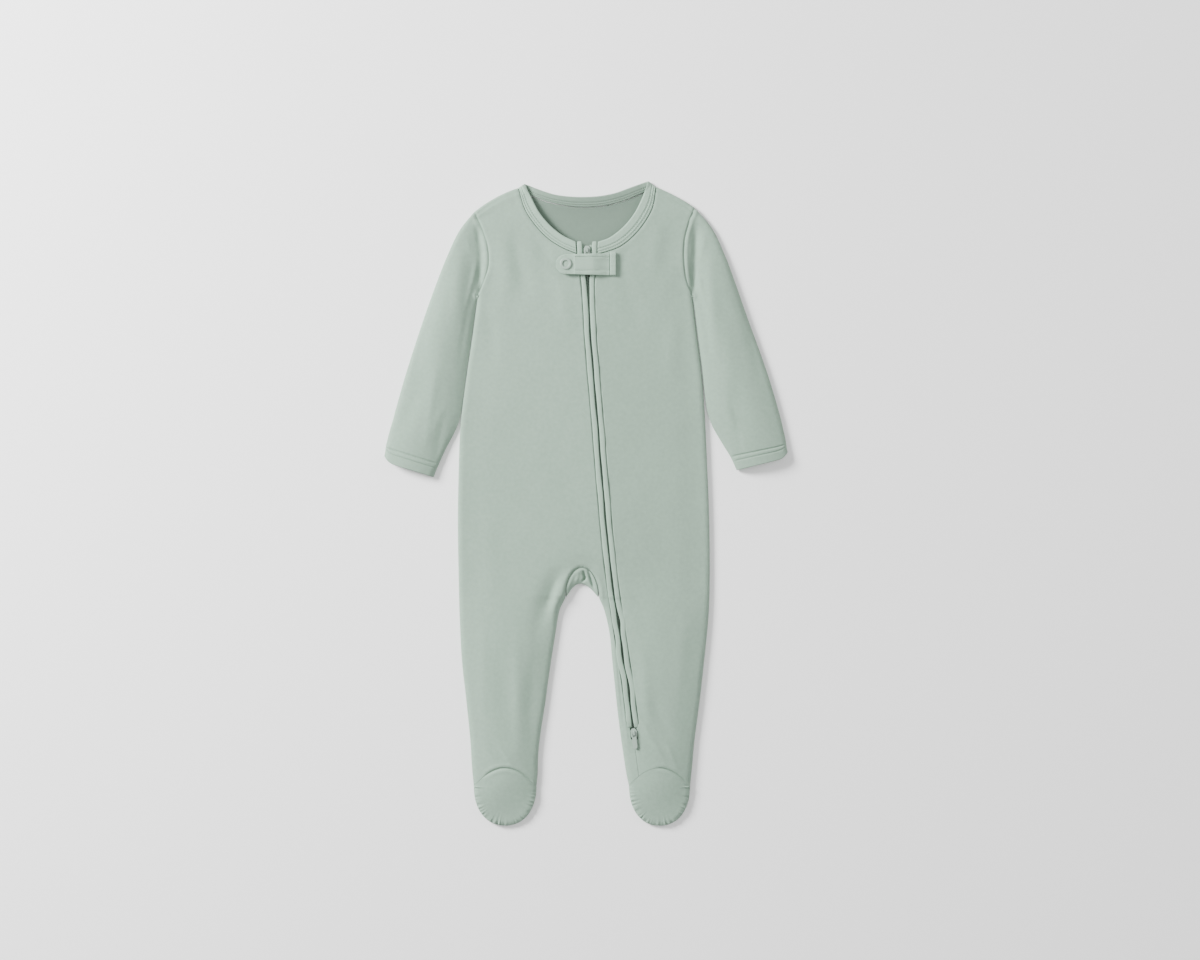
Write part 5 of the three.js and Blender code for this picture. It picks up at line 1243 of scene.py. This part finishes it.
def binding_sides():
    """Seam points, free edge points and step of the binding on the right front, left front and back."""
    front = np.linspace(0, 1, 90)
    parts = {}
    for side, sign in (("right", 1), ("left", -1)):
        seam = neck_seam[side].beside(front, sign * TURNING_GAP)
        parts[side] = (seam, neck_edge[side].at(front), BINDING_STEP * smooth(0, 0.1, front))
    back = np.linspace(0, 1, 120)
    parts["back"] = (back_neck_seam.beside(back, TURNING_GAP), back_neck_edge.at(back), np.zeros(120))
    return parts


def make_binding():
    """One grid of rings from the zip up the right front, round the back and down the left front."""
    parts = binding_sides()
    seam, free, step = parts["right"]
    right = binding_ring(seam[::-1], free[::-1], smooth_front, step[::-1])
    seam, free, step = parts["back"]
    back = binding_ring(seam, free, back_layer, step, 1.0)
    left = binding_ring(*parts["left"][:2], smooth_front, parts["left"][2])
    return np.concatenate([right, back, left])


def on_front(p, lift):
    """A run of points a little above the smooth front, with the way that it faces."""
    xyz, normal = smooth_front(p)
    return xyz + normal * lift, normal


def make_welt(name, side):
    """A folded edge beside the zip: a rounded tube with uneven, soft ripples."""
    sign = -1 if side == "right" else 1
    wave_shift, kink_height, ripple_shift, wander_shift = WELT_WAVES[side]
    rows = np.linspace(WELT_TOP, WELT_BOTTOM, 330)

    def straight(y):
        return np.stack([zip_x(y) + sign * welt_offset(y), y], -1)

    def middle(y):
        wave = np.sin(y / 9.5 + 0.8) + 0.7 * np.sin(y / 5.3 + wave_shift)
        kink = kink_height * np.exp(-(((y - KINK_Y) / KINK_REACH) ** 2))
        size = lerp(0.12, 0.5, smooth(-80, KINK_Y, y))
        bend = (wave * size + kink) * smooth(WELT_BOTTOM, WELT_BOTTOM + 14, y)
        return straight(y) + bend[:, None] * (1, 0)

    def base(y):
        top = smooth_front(straight(np.minimum(y, ZIP_LEVEL)))[0][:, 2] + WELT_ABOVE
        phase = y / 11 + ripple_shift
        ripple = 0.14 * np.sin(phase * 2 + np.sin(phase * 0.7)) + 0.1 * np.sin(phase * 0.6)
        ends = smooth(WELT_BOTTOM - 1, WELT_BOTTOM + 6, y) * smooth(WELT_TOP + 0.5, WELT_TOP - 2.5, y)
        return top - WELT_HEIGHT + ripple, WELT_HEIGHT * (0.6 + 0.4 * ends)

    def half(y):
        ends = smooth(WELT_BOTTOM - 1, WELT_BOTTOM + 7, y) * smooth(WELT_TOP + 0.6, WELT_TOP - 2.5, y)
        wander = 1 + 0.05 * np.sin(y / 8.7 + wander_shift) - 0.04
        return WELT_WIDTH / 2 * wander * (0.72 + 0.28 * ends)

    return loft_strip(name, middle, half, base, rounded_section(24, 0.62), rows)


def lower_side(y):
    """Height of the lower of the two sides of the zip, where the tapes and teeth lie."""
    y = np.minimum(y, ZIP_LEVEL)
    edges = (np.stack([zip_x(y) + sign * TAPE["outer"], y], -1) for sign in (-1, 1))
    return np.minimum(*(smooth_front(edge)[0][:, 2] for edge in edges))


def make_tape(name, side):
    """Half of the zip's woven tape, under the welt."""
    sign = -1 if side == "right" else 1

    def middle(y):
        return np.stack([zip_x(y) + sign * TAPE["middle"], y], -1)

    def half(y):
        return np.full(len(y), TAPE["half"])

    def base(y):
        return lower_side(y) - TAPE["below"], np.full(len(y), TAPE["wall"])

    rows = np.linspace(TAPE["from"], TAPE["to"], 240)
    return loft_strip(name, middle, half, base, rounded_section(12, 0.3), rows)


def make_teeth(name):
    """The zip's coil: a row of small rounded loops from each side, set between each other."""
    y = np.arange(COIL["from"], COIL["to"], COIL["pitch"] / 2)
    sign = np.where(np.arange(len(y)) % 2 == 0, -1.0, 1.0)
    low = lower_side(y) - COIL["below"]
    start = np.stack([zip_x(y) + sign * COIL["outer"], y, low], -1)
    end = np.stack([zip_x(y) - sign * COIL["inner"], y, low], -1)
    runs = [(np.stack([a, b]), np.tile((0.0, 0.0, 1.0), (2, 1))) for a, b in zip(start, end)]
    return thread_rows(name, runs, **COIL_LOOP)


# Tab and snap

def tab_floor(x):
    """Height of the tab's underside: lifted over slider and snap, and down at its sewn end."""
    return lerp(TAB_LIFT, LAYER_GAP, smooth(TAB_RAMP_FROM, TAB_RAMP_TO, x))


def tab_base():
    """Height of the cloth that the tab lies over."""
    y = np.array([TAB_Y])
    return float(smooth_front(np.stack([zip_x(y) - slot_half(y) - 1, y], -1))[0][0, 2])


def make_tab(name):
    """The strap: a flat band with a half round end, dented along its rows of stitches."""
    angle = np.linspace(np.pi, np.pi / 2, 30)
    rounded = TAB_ROUND_X + TAB_RADIUS * np.cos(angle)
    x = np.concatenate([rounded, np.linspace(TAB_ROUND_X, TAB_END_X, 90)[1:]])
    half = np.where(
        x < TAB_ROUND_X,
        np.sqrt(np.clip(TAB_RADIUS**2 - (x - TAB_ROUND_X) ** 2, 0.64, None)),
        lerp(TAB_RADIUS, TAB_HALF_AT_END, (x - TAB_ROUND_X) / (TAB_END_X - TAB_ROUND_X)),
    )
    turn = np.linspace(0, 2 * np.pi, 72, endpoint=False)
    w, h = squared(np.cos(turn), 0.35), 0.5 + 0.5 * squared(np.sin(turn), 0.35)
    y = TAB_Y - w[None] * half[:, None]
    across_tab = x[:, None]
    dent = sum(np.exp(-(((y - line) / TAB_DENT_WIDTH) ** 2)) for line in TAB_SEAMS)
    dent = dent * smooth(-11, -9, across_tab)
    step = 0.35 * smooth(-11.2, -10, across_tab) - 0.35
    bulge = 0.2 * np.exp(-(((across_tab - SNAP_X) ** 2 + (y - SNAP_Y) ** 2) / 14))
    quilt = 0.12 * np.sin(across_tab / 1.9 + 0.6 * np.sin(across_tab))
    quilt = quilt * np.exp(-(((np.abs(y - TAB_Y) - 7.6) / 1.8) ** 2))
    top = np.where(h[None] > 0.5, step + bulge - TAB_DENT * dent + quilt, 0)
    z = tab_base() + tab_floor(across_tab) + TAB_WALL * h[None] + top
    grid = np.stack(np.broadcast_arrays(across_tab, y, z), -1)
    return mesh_piece(name, [grid], "round", ring=True, caps=True)


def make_tab_end(name):
    """The turned end of the tab: a small padded bar across it."""
    y = TAB_END["y"] + TAB_END["half"] * np.sin(np.linspace(-np.pi / 2, np.pi / 2, 46))
    middle, half = (TAB_END["from"] + TAB_END["to"]) / 2, (TAB_END["to"] - TAB_END["from"]) / 2
    turn = np.linspace(0, 2 * np.pi, 36, endpoint=False)
    w, h = squared(np.cos(turn), 0.5), 0.5 + 0.5 * squared(np.sin(turn), 0.5)
    off = np.abs(y - TAB_END["y"]) / TAB_END["half"]
    full = np.clip(1 - off**8, 0.02, 1) ** 0.5
    x = middle + w[None] * half * lerp(0.9, 1, full)[:, None]
    z = tab_base() + LAYER_GAP + TAB_END["wall"] * lerp(0.5, h[None], full[:, None])
    z = z + 0.08 * np.sin(y * 1.4)[:, None] * (h[None] > 0.5)
    grid = np.stack(np.broadcast_arrays(x, y[:, None], z), -1)
    return mesh_piece(name, [grid], "round", ring=True, caps=True)


def turned_part(name, x, y, base, profile, sides=48):
    """A part turned round a vertical axis, from a closed profile of (radius, height)."""
    turn = np.linspace(0, 2 * np.pi, sides, endpoint=False)
    r, h = np.vstack([profile, profile[:1]]).T[..., None]
    grid = np.stack(np.broadcast_arrays(x + r * np.cos(turn), y + r * np.sin(turn), base + h), -1)
    obj = mesh_piece(name, [grid], "round", ring=True)
    turn_outward(obj.data)
    return obj


def cap_profile():
    """Section of the snap's ring: an ellipse round the middle of its band."""
    middle, half, height = (SNAP_OUTER + SNAP_INNER) / 2, (SNAP_OUTER - SNAP_INNER) / 2, SNAP_RING * 0.5
    turn = np.linspace(0, 2 * np.pi, 20, endpoint=False)
    return np.stack([middle + half * np.cos(turn), height + height * squared(np.sin(turn), 0.8)], -1)


def stud_profile(tall):
    """Section of the snap's stud: a low disc, a neck and a head that ends at its height."""
    return np.array([
        (0.01, 0), (5.0, 0), (5.2, 0.25), (5.0, 0.7), (3.4, 0.9), (2.6, 1.4), (2.6, tall - 0.9),
        (3.6, tall - 0.6), (4.3, tall - 0.4), (4.4, tall - 0.15), (4.1, tall), (0.01, tall),
    ])


def softened_copy(node, name, width):
    """A copy of a hard part's solid with its edges broken by a small bevel."""
    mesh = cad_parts[node].data.copy()
    mesh.name = name
    work = bmesh.new()
    work.from_mesh(mesh)
    bmesh.ops.remove_doubles(work, verts=work.verts, dist=1e-6)
    bmesh.ops.dissolve_limit(work, angle_limit=math.radians(2), verts=work.verts, edges=work.edges)
    bmesh.ops.recalc_face_normals(work, faces=work.faces)
    work.to_mesh(mesh)
    work.free()
    obj = linked(name, mesh)
    bevel = obj.modifiers.new("edges", "BEVEL")
    bevel.width = width * MM
    bevel.segments = 2
    bevel.limit_method = "ANGLE"
    bevel.angle_limit = math.radians(30)
    mesh.polygons.foreach_set("use_smooth", np.zeros(len(mesh.polygons), bool))
    return obj


# Panel values

class ClothSettings(bpy.types.PropertyGroup):
    """Thickness, colour and knit of the cloth"""

    wall: FloatProperty(
        name="Cloth", description="Thickness of one layer of jersey",
        default=0.001, min=0.0003, max=0.002, unit="LENGTH",
    )
    creases: FloatProperty(
        name="Creases", description="Strength of the small creases",
        default=1.15, min=0.0, max=2.0, subtype="FACTOR",
    )
    colour: FloatVectorProperty(
        name="Cloth colour", description="Sage of the jersey",
        default=(0.264, 0.372, 0.293), min=0, max=1, size=3, subtype="COLOR",
    )
    columns: IntProperty(
        name="Knit columns", description="Columns of loops in a centimetre of jersey",
        default=14, min=6, max=30,
    )
    rows: IntProperty(
        name="Knit rows", description="Rows of loops in a centimetre of jersey", default=18, min=6, max=36,
    )


class StitchSettings(bpy.types.PropertyGroup):
    """Spacing and thickness of the stitches"""

    pitch: FloatProperty(
        name="Stitch pitch", description="From one stitch to the next",
        default=0.0023, min=0.001, max=0.006, unit="LENGTH",
    )
    thread: FloatProperty(
        name="Thread", description="Half of the thread's thickness",
        default=0.0002, min=0.0001, max=0.0006, unit="LENGTH",
    )


class ZipSettings(bpy.types.PropertyGroup):
    """Paint and edges of the hard parts"""

    colour: FloatVectorProperty(
        name="Hardware colour", description="Paint of sliders, pulls and snap",
        default=(0.28, 0.37, 0.308), min=0, max=1, size=3, subtype="COLOR",
    )
    bevel: FloatProperty(
        name="Edges", description="Width of the broken edges on hard parts",
        default=0.00018, min=0.0, max=0.0006, unit="LENGTH",
    )


class StageSettings(bpy.types.PropertyGroup):
    """Table and lights"""

    floor: FloatVectorProperty(
        name="Floor colour", description="Colour of the table",
        default=(0.95, 0.95, 0.95), min=0, max=1, size=3, subtype="COLOR",
    )
    key: FloatProperty(
        name="Key light", description="Power of the large light at the upper left",
        default=170.0, min=0, max=400, unit="POWER",
    )
    fill: FloatProperty(
        name="Fill light", description="Power of the light overhead",
        default=60.0, min=0, max=400, unit="POWER",
    )
    side: FloatProperty(
        name="Side light", description="Power of the mild light at the right",
        default=12.0, min=0, max=400, unit="POWER",
    )
    sky: FloatProperty(
        name="Room light", description="Strength of the light from all round", default=0.40, min=0, max=2,
    )


def cloth():
    """The panel's cloth values."""
    return bpy.context.scene.sleepsuit_cloth


def stitched(name, runs):
    """Rows of stitches in the thread's material, which is darkened as painted shade in their grooves."""
    settings = bpy.context.scene.sleepsuit_stitches
    threads = thread_rows(name, runs, pitch=settings.pitch / MM, radius=settings.thread / MM)
    return place(threads, material_named("sage_thread"))


def binding_stitches():
    """Runs of the binding's stitches: on its outside along the fronts, and on its inside along the back."""
    parts, runs = binding_sides(), []
    for line in BINDING_STITCHES:
        for side in SIDES:
            seam, free, _ = (part[8:-2] for part in parts[side])
            runs.append(on_front(across(seam, free, np.full(len(seam), line)), BINDING_STEP - STITCH_OFFSET))
        seam, free, _ = (part[6:-6] for part in parts["back"])
        xyz, way = back_layer(across(seam, free, np.full(len(seam), line)))
        runs.append((xyz - way * (BINDING_WALL + STITCH_OFFSET), -way))
    return runs


def shade_inside(obj):
    """Paints shade on the binding's inside, which faces up behind the neck, with a darker copy of the folded
    cloth.
    """
    middles = {key: Path((seam + free) / 2) for key, (seam, free, _) in binding_sides().items()}
    faces = obj.data.polygons
    centre, normal = np.empty(len(faces) * 3), np.empty(len(faces) * 3)
    faces.foreach_get("center", centre)
    faces.foreach_get("normal", normal)
    plan = centre.reshape(-1, 3)[:, :2] / MM
    behind = nearest([middles["back"]], plan)[0] < nearest([middles["right"], middles["left"]], plan)[0]
    # painted shade: up-facing faces behind the neck take the darker material
    obj.data.materials.append(material_named("sage_folded_reverse"))
    faces.foreach_set("material_index", (behind & (normal.reshape(-1, 3)[:, 2] > 0)).astype(np.int32))


class SLEEPSUIT_OT_back(bpy.types.Operator):
    """Lays the back of the suit on the table"""

    bl_idname = "sleepsuit.back"
    bl_label = "Back"

    def execute(self, context):
        obj = thin_shell(mesh_piece("back_cloth", make_back(), "down"), cloth().wall / MM)
        place(obj, material_named("sage_jersey"), ["back_panel"])
        # the inner faces take the darker material: painted shade inside the neck opening
        obj.data.materials.append(material_named("sage_reverse"))
        obj.modifiers["wall"].material_offset = 1
        return {"FINISHED"}


class SLEEPSUIT_OT_fronts(bpy.types.Operator):
    """Lays the two fronts over the back"""

    bl_idname = "sleepsuit.fronts"
    bl_label = "Fronts"

    def execute(self, context):
        values = cloth()
        right = mesh_piece("front_cloth_right", make_front_right(values.creases), "up")
        left = mesh_piece("front_cloth_left", [make_front_left(values.creases)], "up")
        for obj, node in ((right, "front_panel_right"), (left, "front_panel_left")):
            thin_shell(obj, values.wall / MM)
            place(obj, material_named("sage_jersey"), [node])
        return {"FINISHED"}


class SLEEPSUIT_OT_sleeves(bpy.types.Operator):
    """Sets in the two sleeves and stitches their hems"""

    bl_idname = "sleepsuit.sleeves"
    bl_label = "Sleeves"

    def execute(self, context):
        share = np.linspace(0.02, 0.98, 120)
        for side in SIDES:
            obj = make_sleeve(f"sleeve_cloth_{side}", side)
            place(obj, material_named("sage_jersey"), [f"sleeve_{side}"])
            runs = []
            for step in HEM_STITCHES:
                at = np.full(share.shape, HEM_SECTION + step)
                (top, top_way), (low, low_way) = sleeve_layers(side, at, share)
                runs += [
                    (top + top_way * HEM_STITCH_LIFT, top_way), (low + low_way * STITCH_OFFSET, low_way),
                ]
            threads = stitched(f"hem_stitches_{side}", runs)
        return {"FINISHED"}


class SLEEPSUIT_OT_feet(bpy.types.Operator):
    """Closes the feet with toe caps and soles"""

    bl_idname = "sleepsuit.feet"
    bl_label = "Feet"

    def execute(self, context):
        for side in SIDES:
            cap = mesh_piece(f"toe_cap_cloth_{side}", [make_toe_cap(side)], "up", ring=True)
            sole = mesh_piece(f"sole_cloth_{side}", [make_sole(side)], "down", ring=True)
            for obj, part, under in ((cap, "toe_cap", sole.name), (sole, "sole", "floor")):
                thin_shell(obj, cloth().wall / MM)
                place(obj, material_named("sage_jersey"), [f"{part}_{side}"])
        return {"FINISHED"}


class SLEEPSUIT_OT_gusset(bpy.types.Operator):
    """Lets the gusset in at the crotch"""

    bl_idname = "sleepsuit.gusset"
    bl_label = "Gusset"

    def execute(self, context):
        obj = thin_shell(mesh_piece("gusset_cloth", [make_gusset()], "round"), cloth().wall / MM)
        place(obj, material_named("sage_jersey"), ["gusset"])
        return {"FINISHED"}


class SLEEPSUIT_OT_binding(bpy.types.Operator):
    """Binds the neck and stitches the binding down with two needles"""

    bl_idname = "sleepsuit.binding"
    bl_label = "Neck binding"

    def execute(self, context):
        grid = make_binding()
        round_way, run = BINDING_PROFILE[:, 0] * BINDING_REACH, run_along(grid[:, BINDING_MAP_COLUMN])
        maps = np.stack(np.broadcast_arrays(round_way[None] * MM, run[:, None] * MM), -1)
        obj = mesh_piece("neck_binding_cloth", [grid], "round", [maps], ring=True, caps=True)
        # the binding takes the lighter folded material: painted highlight
        place(obj, material_named("sage_folded_jersey"), ["neck_binding"])
        shade_inside(obj)
        threads = stitched("neck_stitches", binding_stitches())
        return {"FINISHED"}


class SLEEPSUIT_OT_welts(bpy.types.Operator):
    """Folds the two edges that cover the zip"""

    bl_idname = "sleepsuit.welts"
    bl_label = "Zip welts"

    def execute(self, context):
        for side in SIDES:
            obj = make_welt(f"zip_welt_cloth_{side}", side)
            # the welts take the lighter folded material: painted highlight
            place(obj, material_named("sage_folded_jersey"), [f"zip_welt_{side}"])
        return {"FINISHED"}


class SLEEPSUIT_OT_zip(bpy.types.Operator):
    """Puts in the zip: tapes, coil, sliders and pulls"""

    bl_idname = "sleepsuit.zip"
    bl_label = "Zip"

    def execute(self, context):
        for side in SIDES:
            obj = make_tape(f"zip_tape_cloth_{side}", side)
            place(obj, material_named("sage_tape"), [f"zip_tape_{side}"])
        place(make_teeth("zip_teeth"), material_named("sage_coil"), ["zip_chain"])
        bevel = context.scene.sleepsuit_zip.bevel / MM
        for which in ("upper", "lower"):
            for part in ("slider", "pull"):
                node = f"zip_{part}_{which}"
                body = PULL_BODY if node == "zip_pull_lower" else GARMENT
                obj = softened_copy(node, f"painted_{part}_{which}", bevel)
                place(obj, material_named("sage_paint"), [node], body)
        return {"FINISHED"}


class SLEEPSUIT_OT_tab(bpy.types.Operator):
    """Covers the upper slider with the tab and its snap"""

    bl_idname = "sleepsuit.tab"
    bl_label = "Tab and snap"

    def execute(self, context):
        # the tab and its end take the lighter folded material: painted highlight
        folded, paint = material_named("sage_folded_jersey"), material_named("sage_paint")
        tab = place(make_tab("tab_cloth"), folded, ["tab_strap"])
        tab_end = place(make_tab_end("tab_end_cloth"), folded, ["tab_end"])
        x = np.linspace(TAB_STITCH_FROM, TAB_END_X - 0.6, 60)
        top = tab_base() + tab_floor(x) + TAB_WALL - TAB_STITCH_DEPTH
        up = np.tile((0.0, 0.0, 1.0), (len(x), 1))
        runs = [(np.stack([x, np.full(len(x), y), top], -1), up) for y in TAB_SEAMS]
        threads = stitched("tab_stitches", runs)
        base = tab_base() + TAB_LIFT
        cap = turned_part("snap_cap", SNAP_X, SNAP_Y, base + TAB_WALL - SNAP_SINK, cap_profile())
        place(cap, paint, ["snap_ring"])
        low = float(smooth_front(np.array([[SNAP_X, SNAP_Y]]))[0][0, 2]) + LAYER_GAP
        stud = turned_part("snap_stud_part", SNAP_X, SNAP_Y, low, stud_profile(base - LAYER_GAP - low))
        place(stud, paint, ["snap_stud"])
        return {"FINISHED"}


class SLEEPSUIT_OT_stage(bpy.types.Operator):
    """Sets the pale table, the soft lights and the camera straight above"""

    bl_idname = "sleepsuit.stage"
    bl_label = "Stage"

    def execute(self, context):
        values = context.scene.sleepsuit_stage
        mesh = bpy.data.meshes.new("floor")
        corners = [(x * FLOOR_REACH, y * FLOOR_REACH, 0) for x, y in ((-1, -1), (1, -1), (1, 1), (-1, 1))]
        mesh.from_pydata(corners, [], [(0, 1, 2, 3)])
        floor = linked("floor", mesh)
        material = bpy.data.materials.new("pale_floor")
        material.use_nodes = True
        shader = material.node_tree.nodes["Principled BSDF"]
        shader.inputs["Base Color"].default_value = (*values.floor, 1)
        shader.inputs["Roughness"].default_value = 0.9
        mesh.materials.append(material)
        for name, (spot, size) in LIGHTS.items():
            lamp = bpy.data.lights.new(f"{name}_light", "AREA")
            lamp.size = size
            lamp.energy = getattr(values, name)
            light = linked(lamp.name, lamp)
            light.location = spot
            light.rotation_euler = (-Vector(spot)).to_track_quat("-Z", "Y").to_euler()
        world = bpy.data.worlds.new("room")
        world.use_nodes = True
        background = world.node_tree.nodes["Background"]
        background.inputs["Color"].default_value = (1, 1, 1, 1)
        background.inputs["Strength"].default_value = values.sky
        context.scene.world = world
        lens = bpy.data.cameras.new("camera")
        lens.lens = LENS
        lens.sensor_width = SENSOR
        camera = linked("camera", lens)
        camera.location = CAMERA_PLACE
        context.scene.camera = camera
        return {"FINISHED"}


class SLEEPSUIT_PT_panel(bpy.types.Panel):
    """Sizes, colours and pieces of the sleepsuit"""

    bl_idname = "SLEEPSUIT_PT_panel"
    bl_label = "Sleepsuit"
    bl_space_type = "VIEW_3D"
    bl_region_type = "UI"
    bl_category = "Sleepsuit"

    def draw(self, context):
        for name in SETTINGS:
            group = getattr(context.scene, name)
            box = self.layout.box()
            for key in group.__annotations__:
                box.prop(group, key)
        for kind in OPERATORS:
            self.layout.operator(kind.bl_idname)


SETTINGS = {
    "sleepsuit_cloth": ClothSettings,
    "sleepsuit_stitches": StitchSettings,
    "sleepsuit_zip": ZipSettings,
    "sleepsuit_stage": StageSettings,
}
OPERATORS = (
    SLEEPSUIT_OT_stage, SLEEPSUIT_OT_back, SLEEPSUIT_OT_fronts, SLEEPSUIT_OT_sleeves, SLEEPSUIT_OT_feet,
    SLEEPSUIT_OT_gusset, SLEEPSUIT_OT_binding, SLEEPSUIT_OT_welts, SLEEPSUIT_OT_zip, SLEEPSUIT_OT_tab,
)
CLASSES = (*SETTINGS.values(), *OPERATORS, SLEEPSUIT_PT_panel)


def register():
    """Adds the add-on's classes and the scene's values."""
    for kind in CLASSES:
        bpy.utils.register_class(kind)
    for name, kind in SETTINGS.items():
        setattr(bpy.types.Scene, name, PointerProperty(type=kind))


def unregister():
    """Takes the scene's values and the classes away again."""
    for name in SETTINGS:
        delattr(bpy.types.Scene, name)
    for kind in reversed(CLASSES):
        bpy.utils.unregister_class(kind)


def main():
    """Builds the stage and every piece."""
    register()
    for kind in OPERATORS:
        group, action = kind.bl_idname.split(".")
        getattr(getattr(bpy.ops, group), action)()


if __name__ == "__main__":
    main()
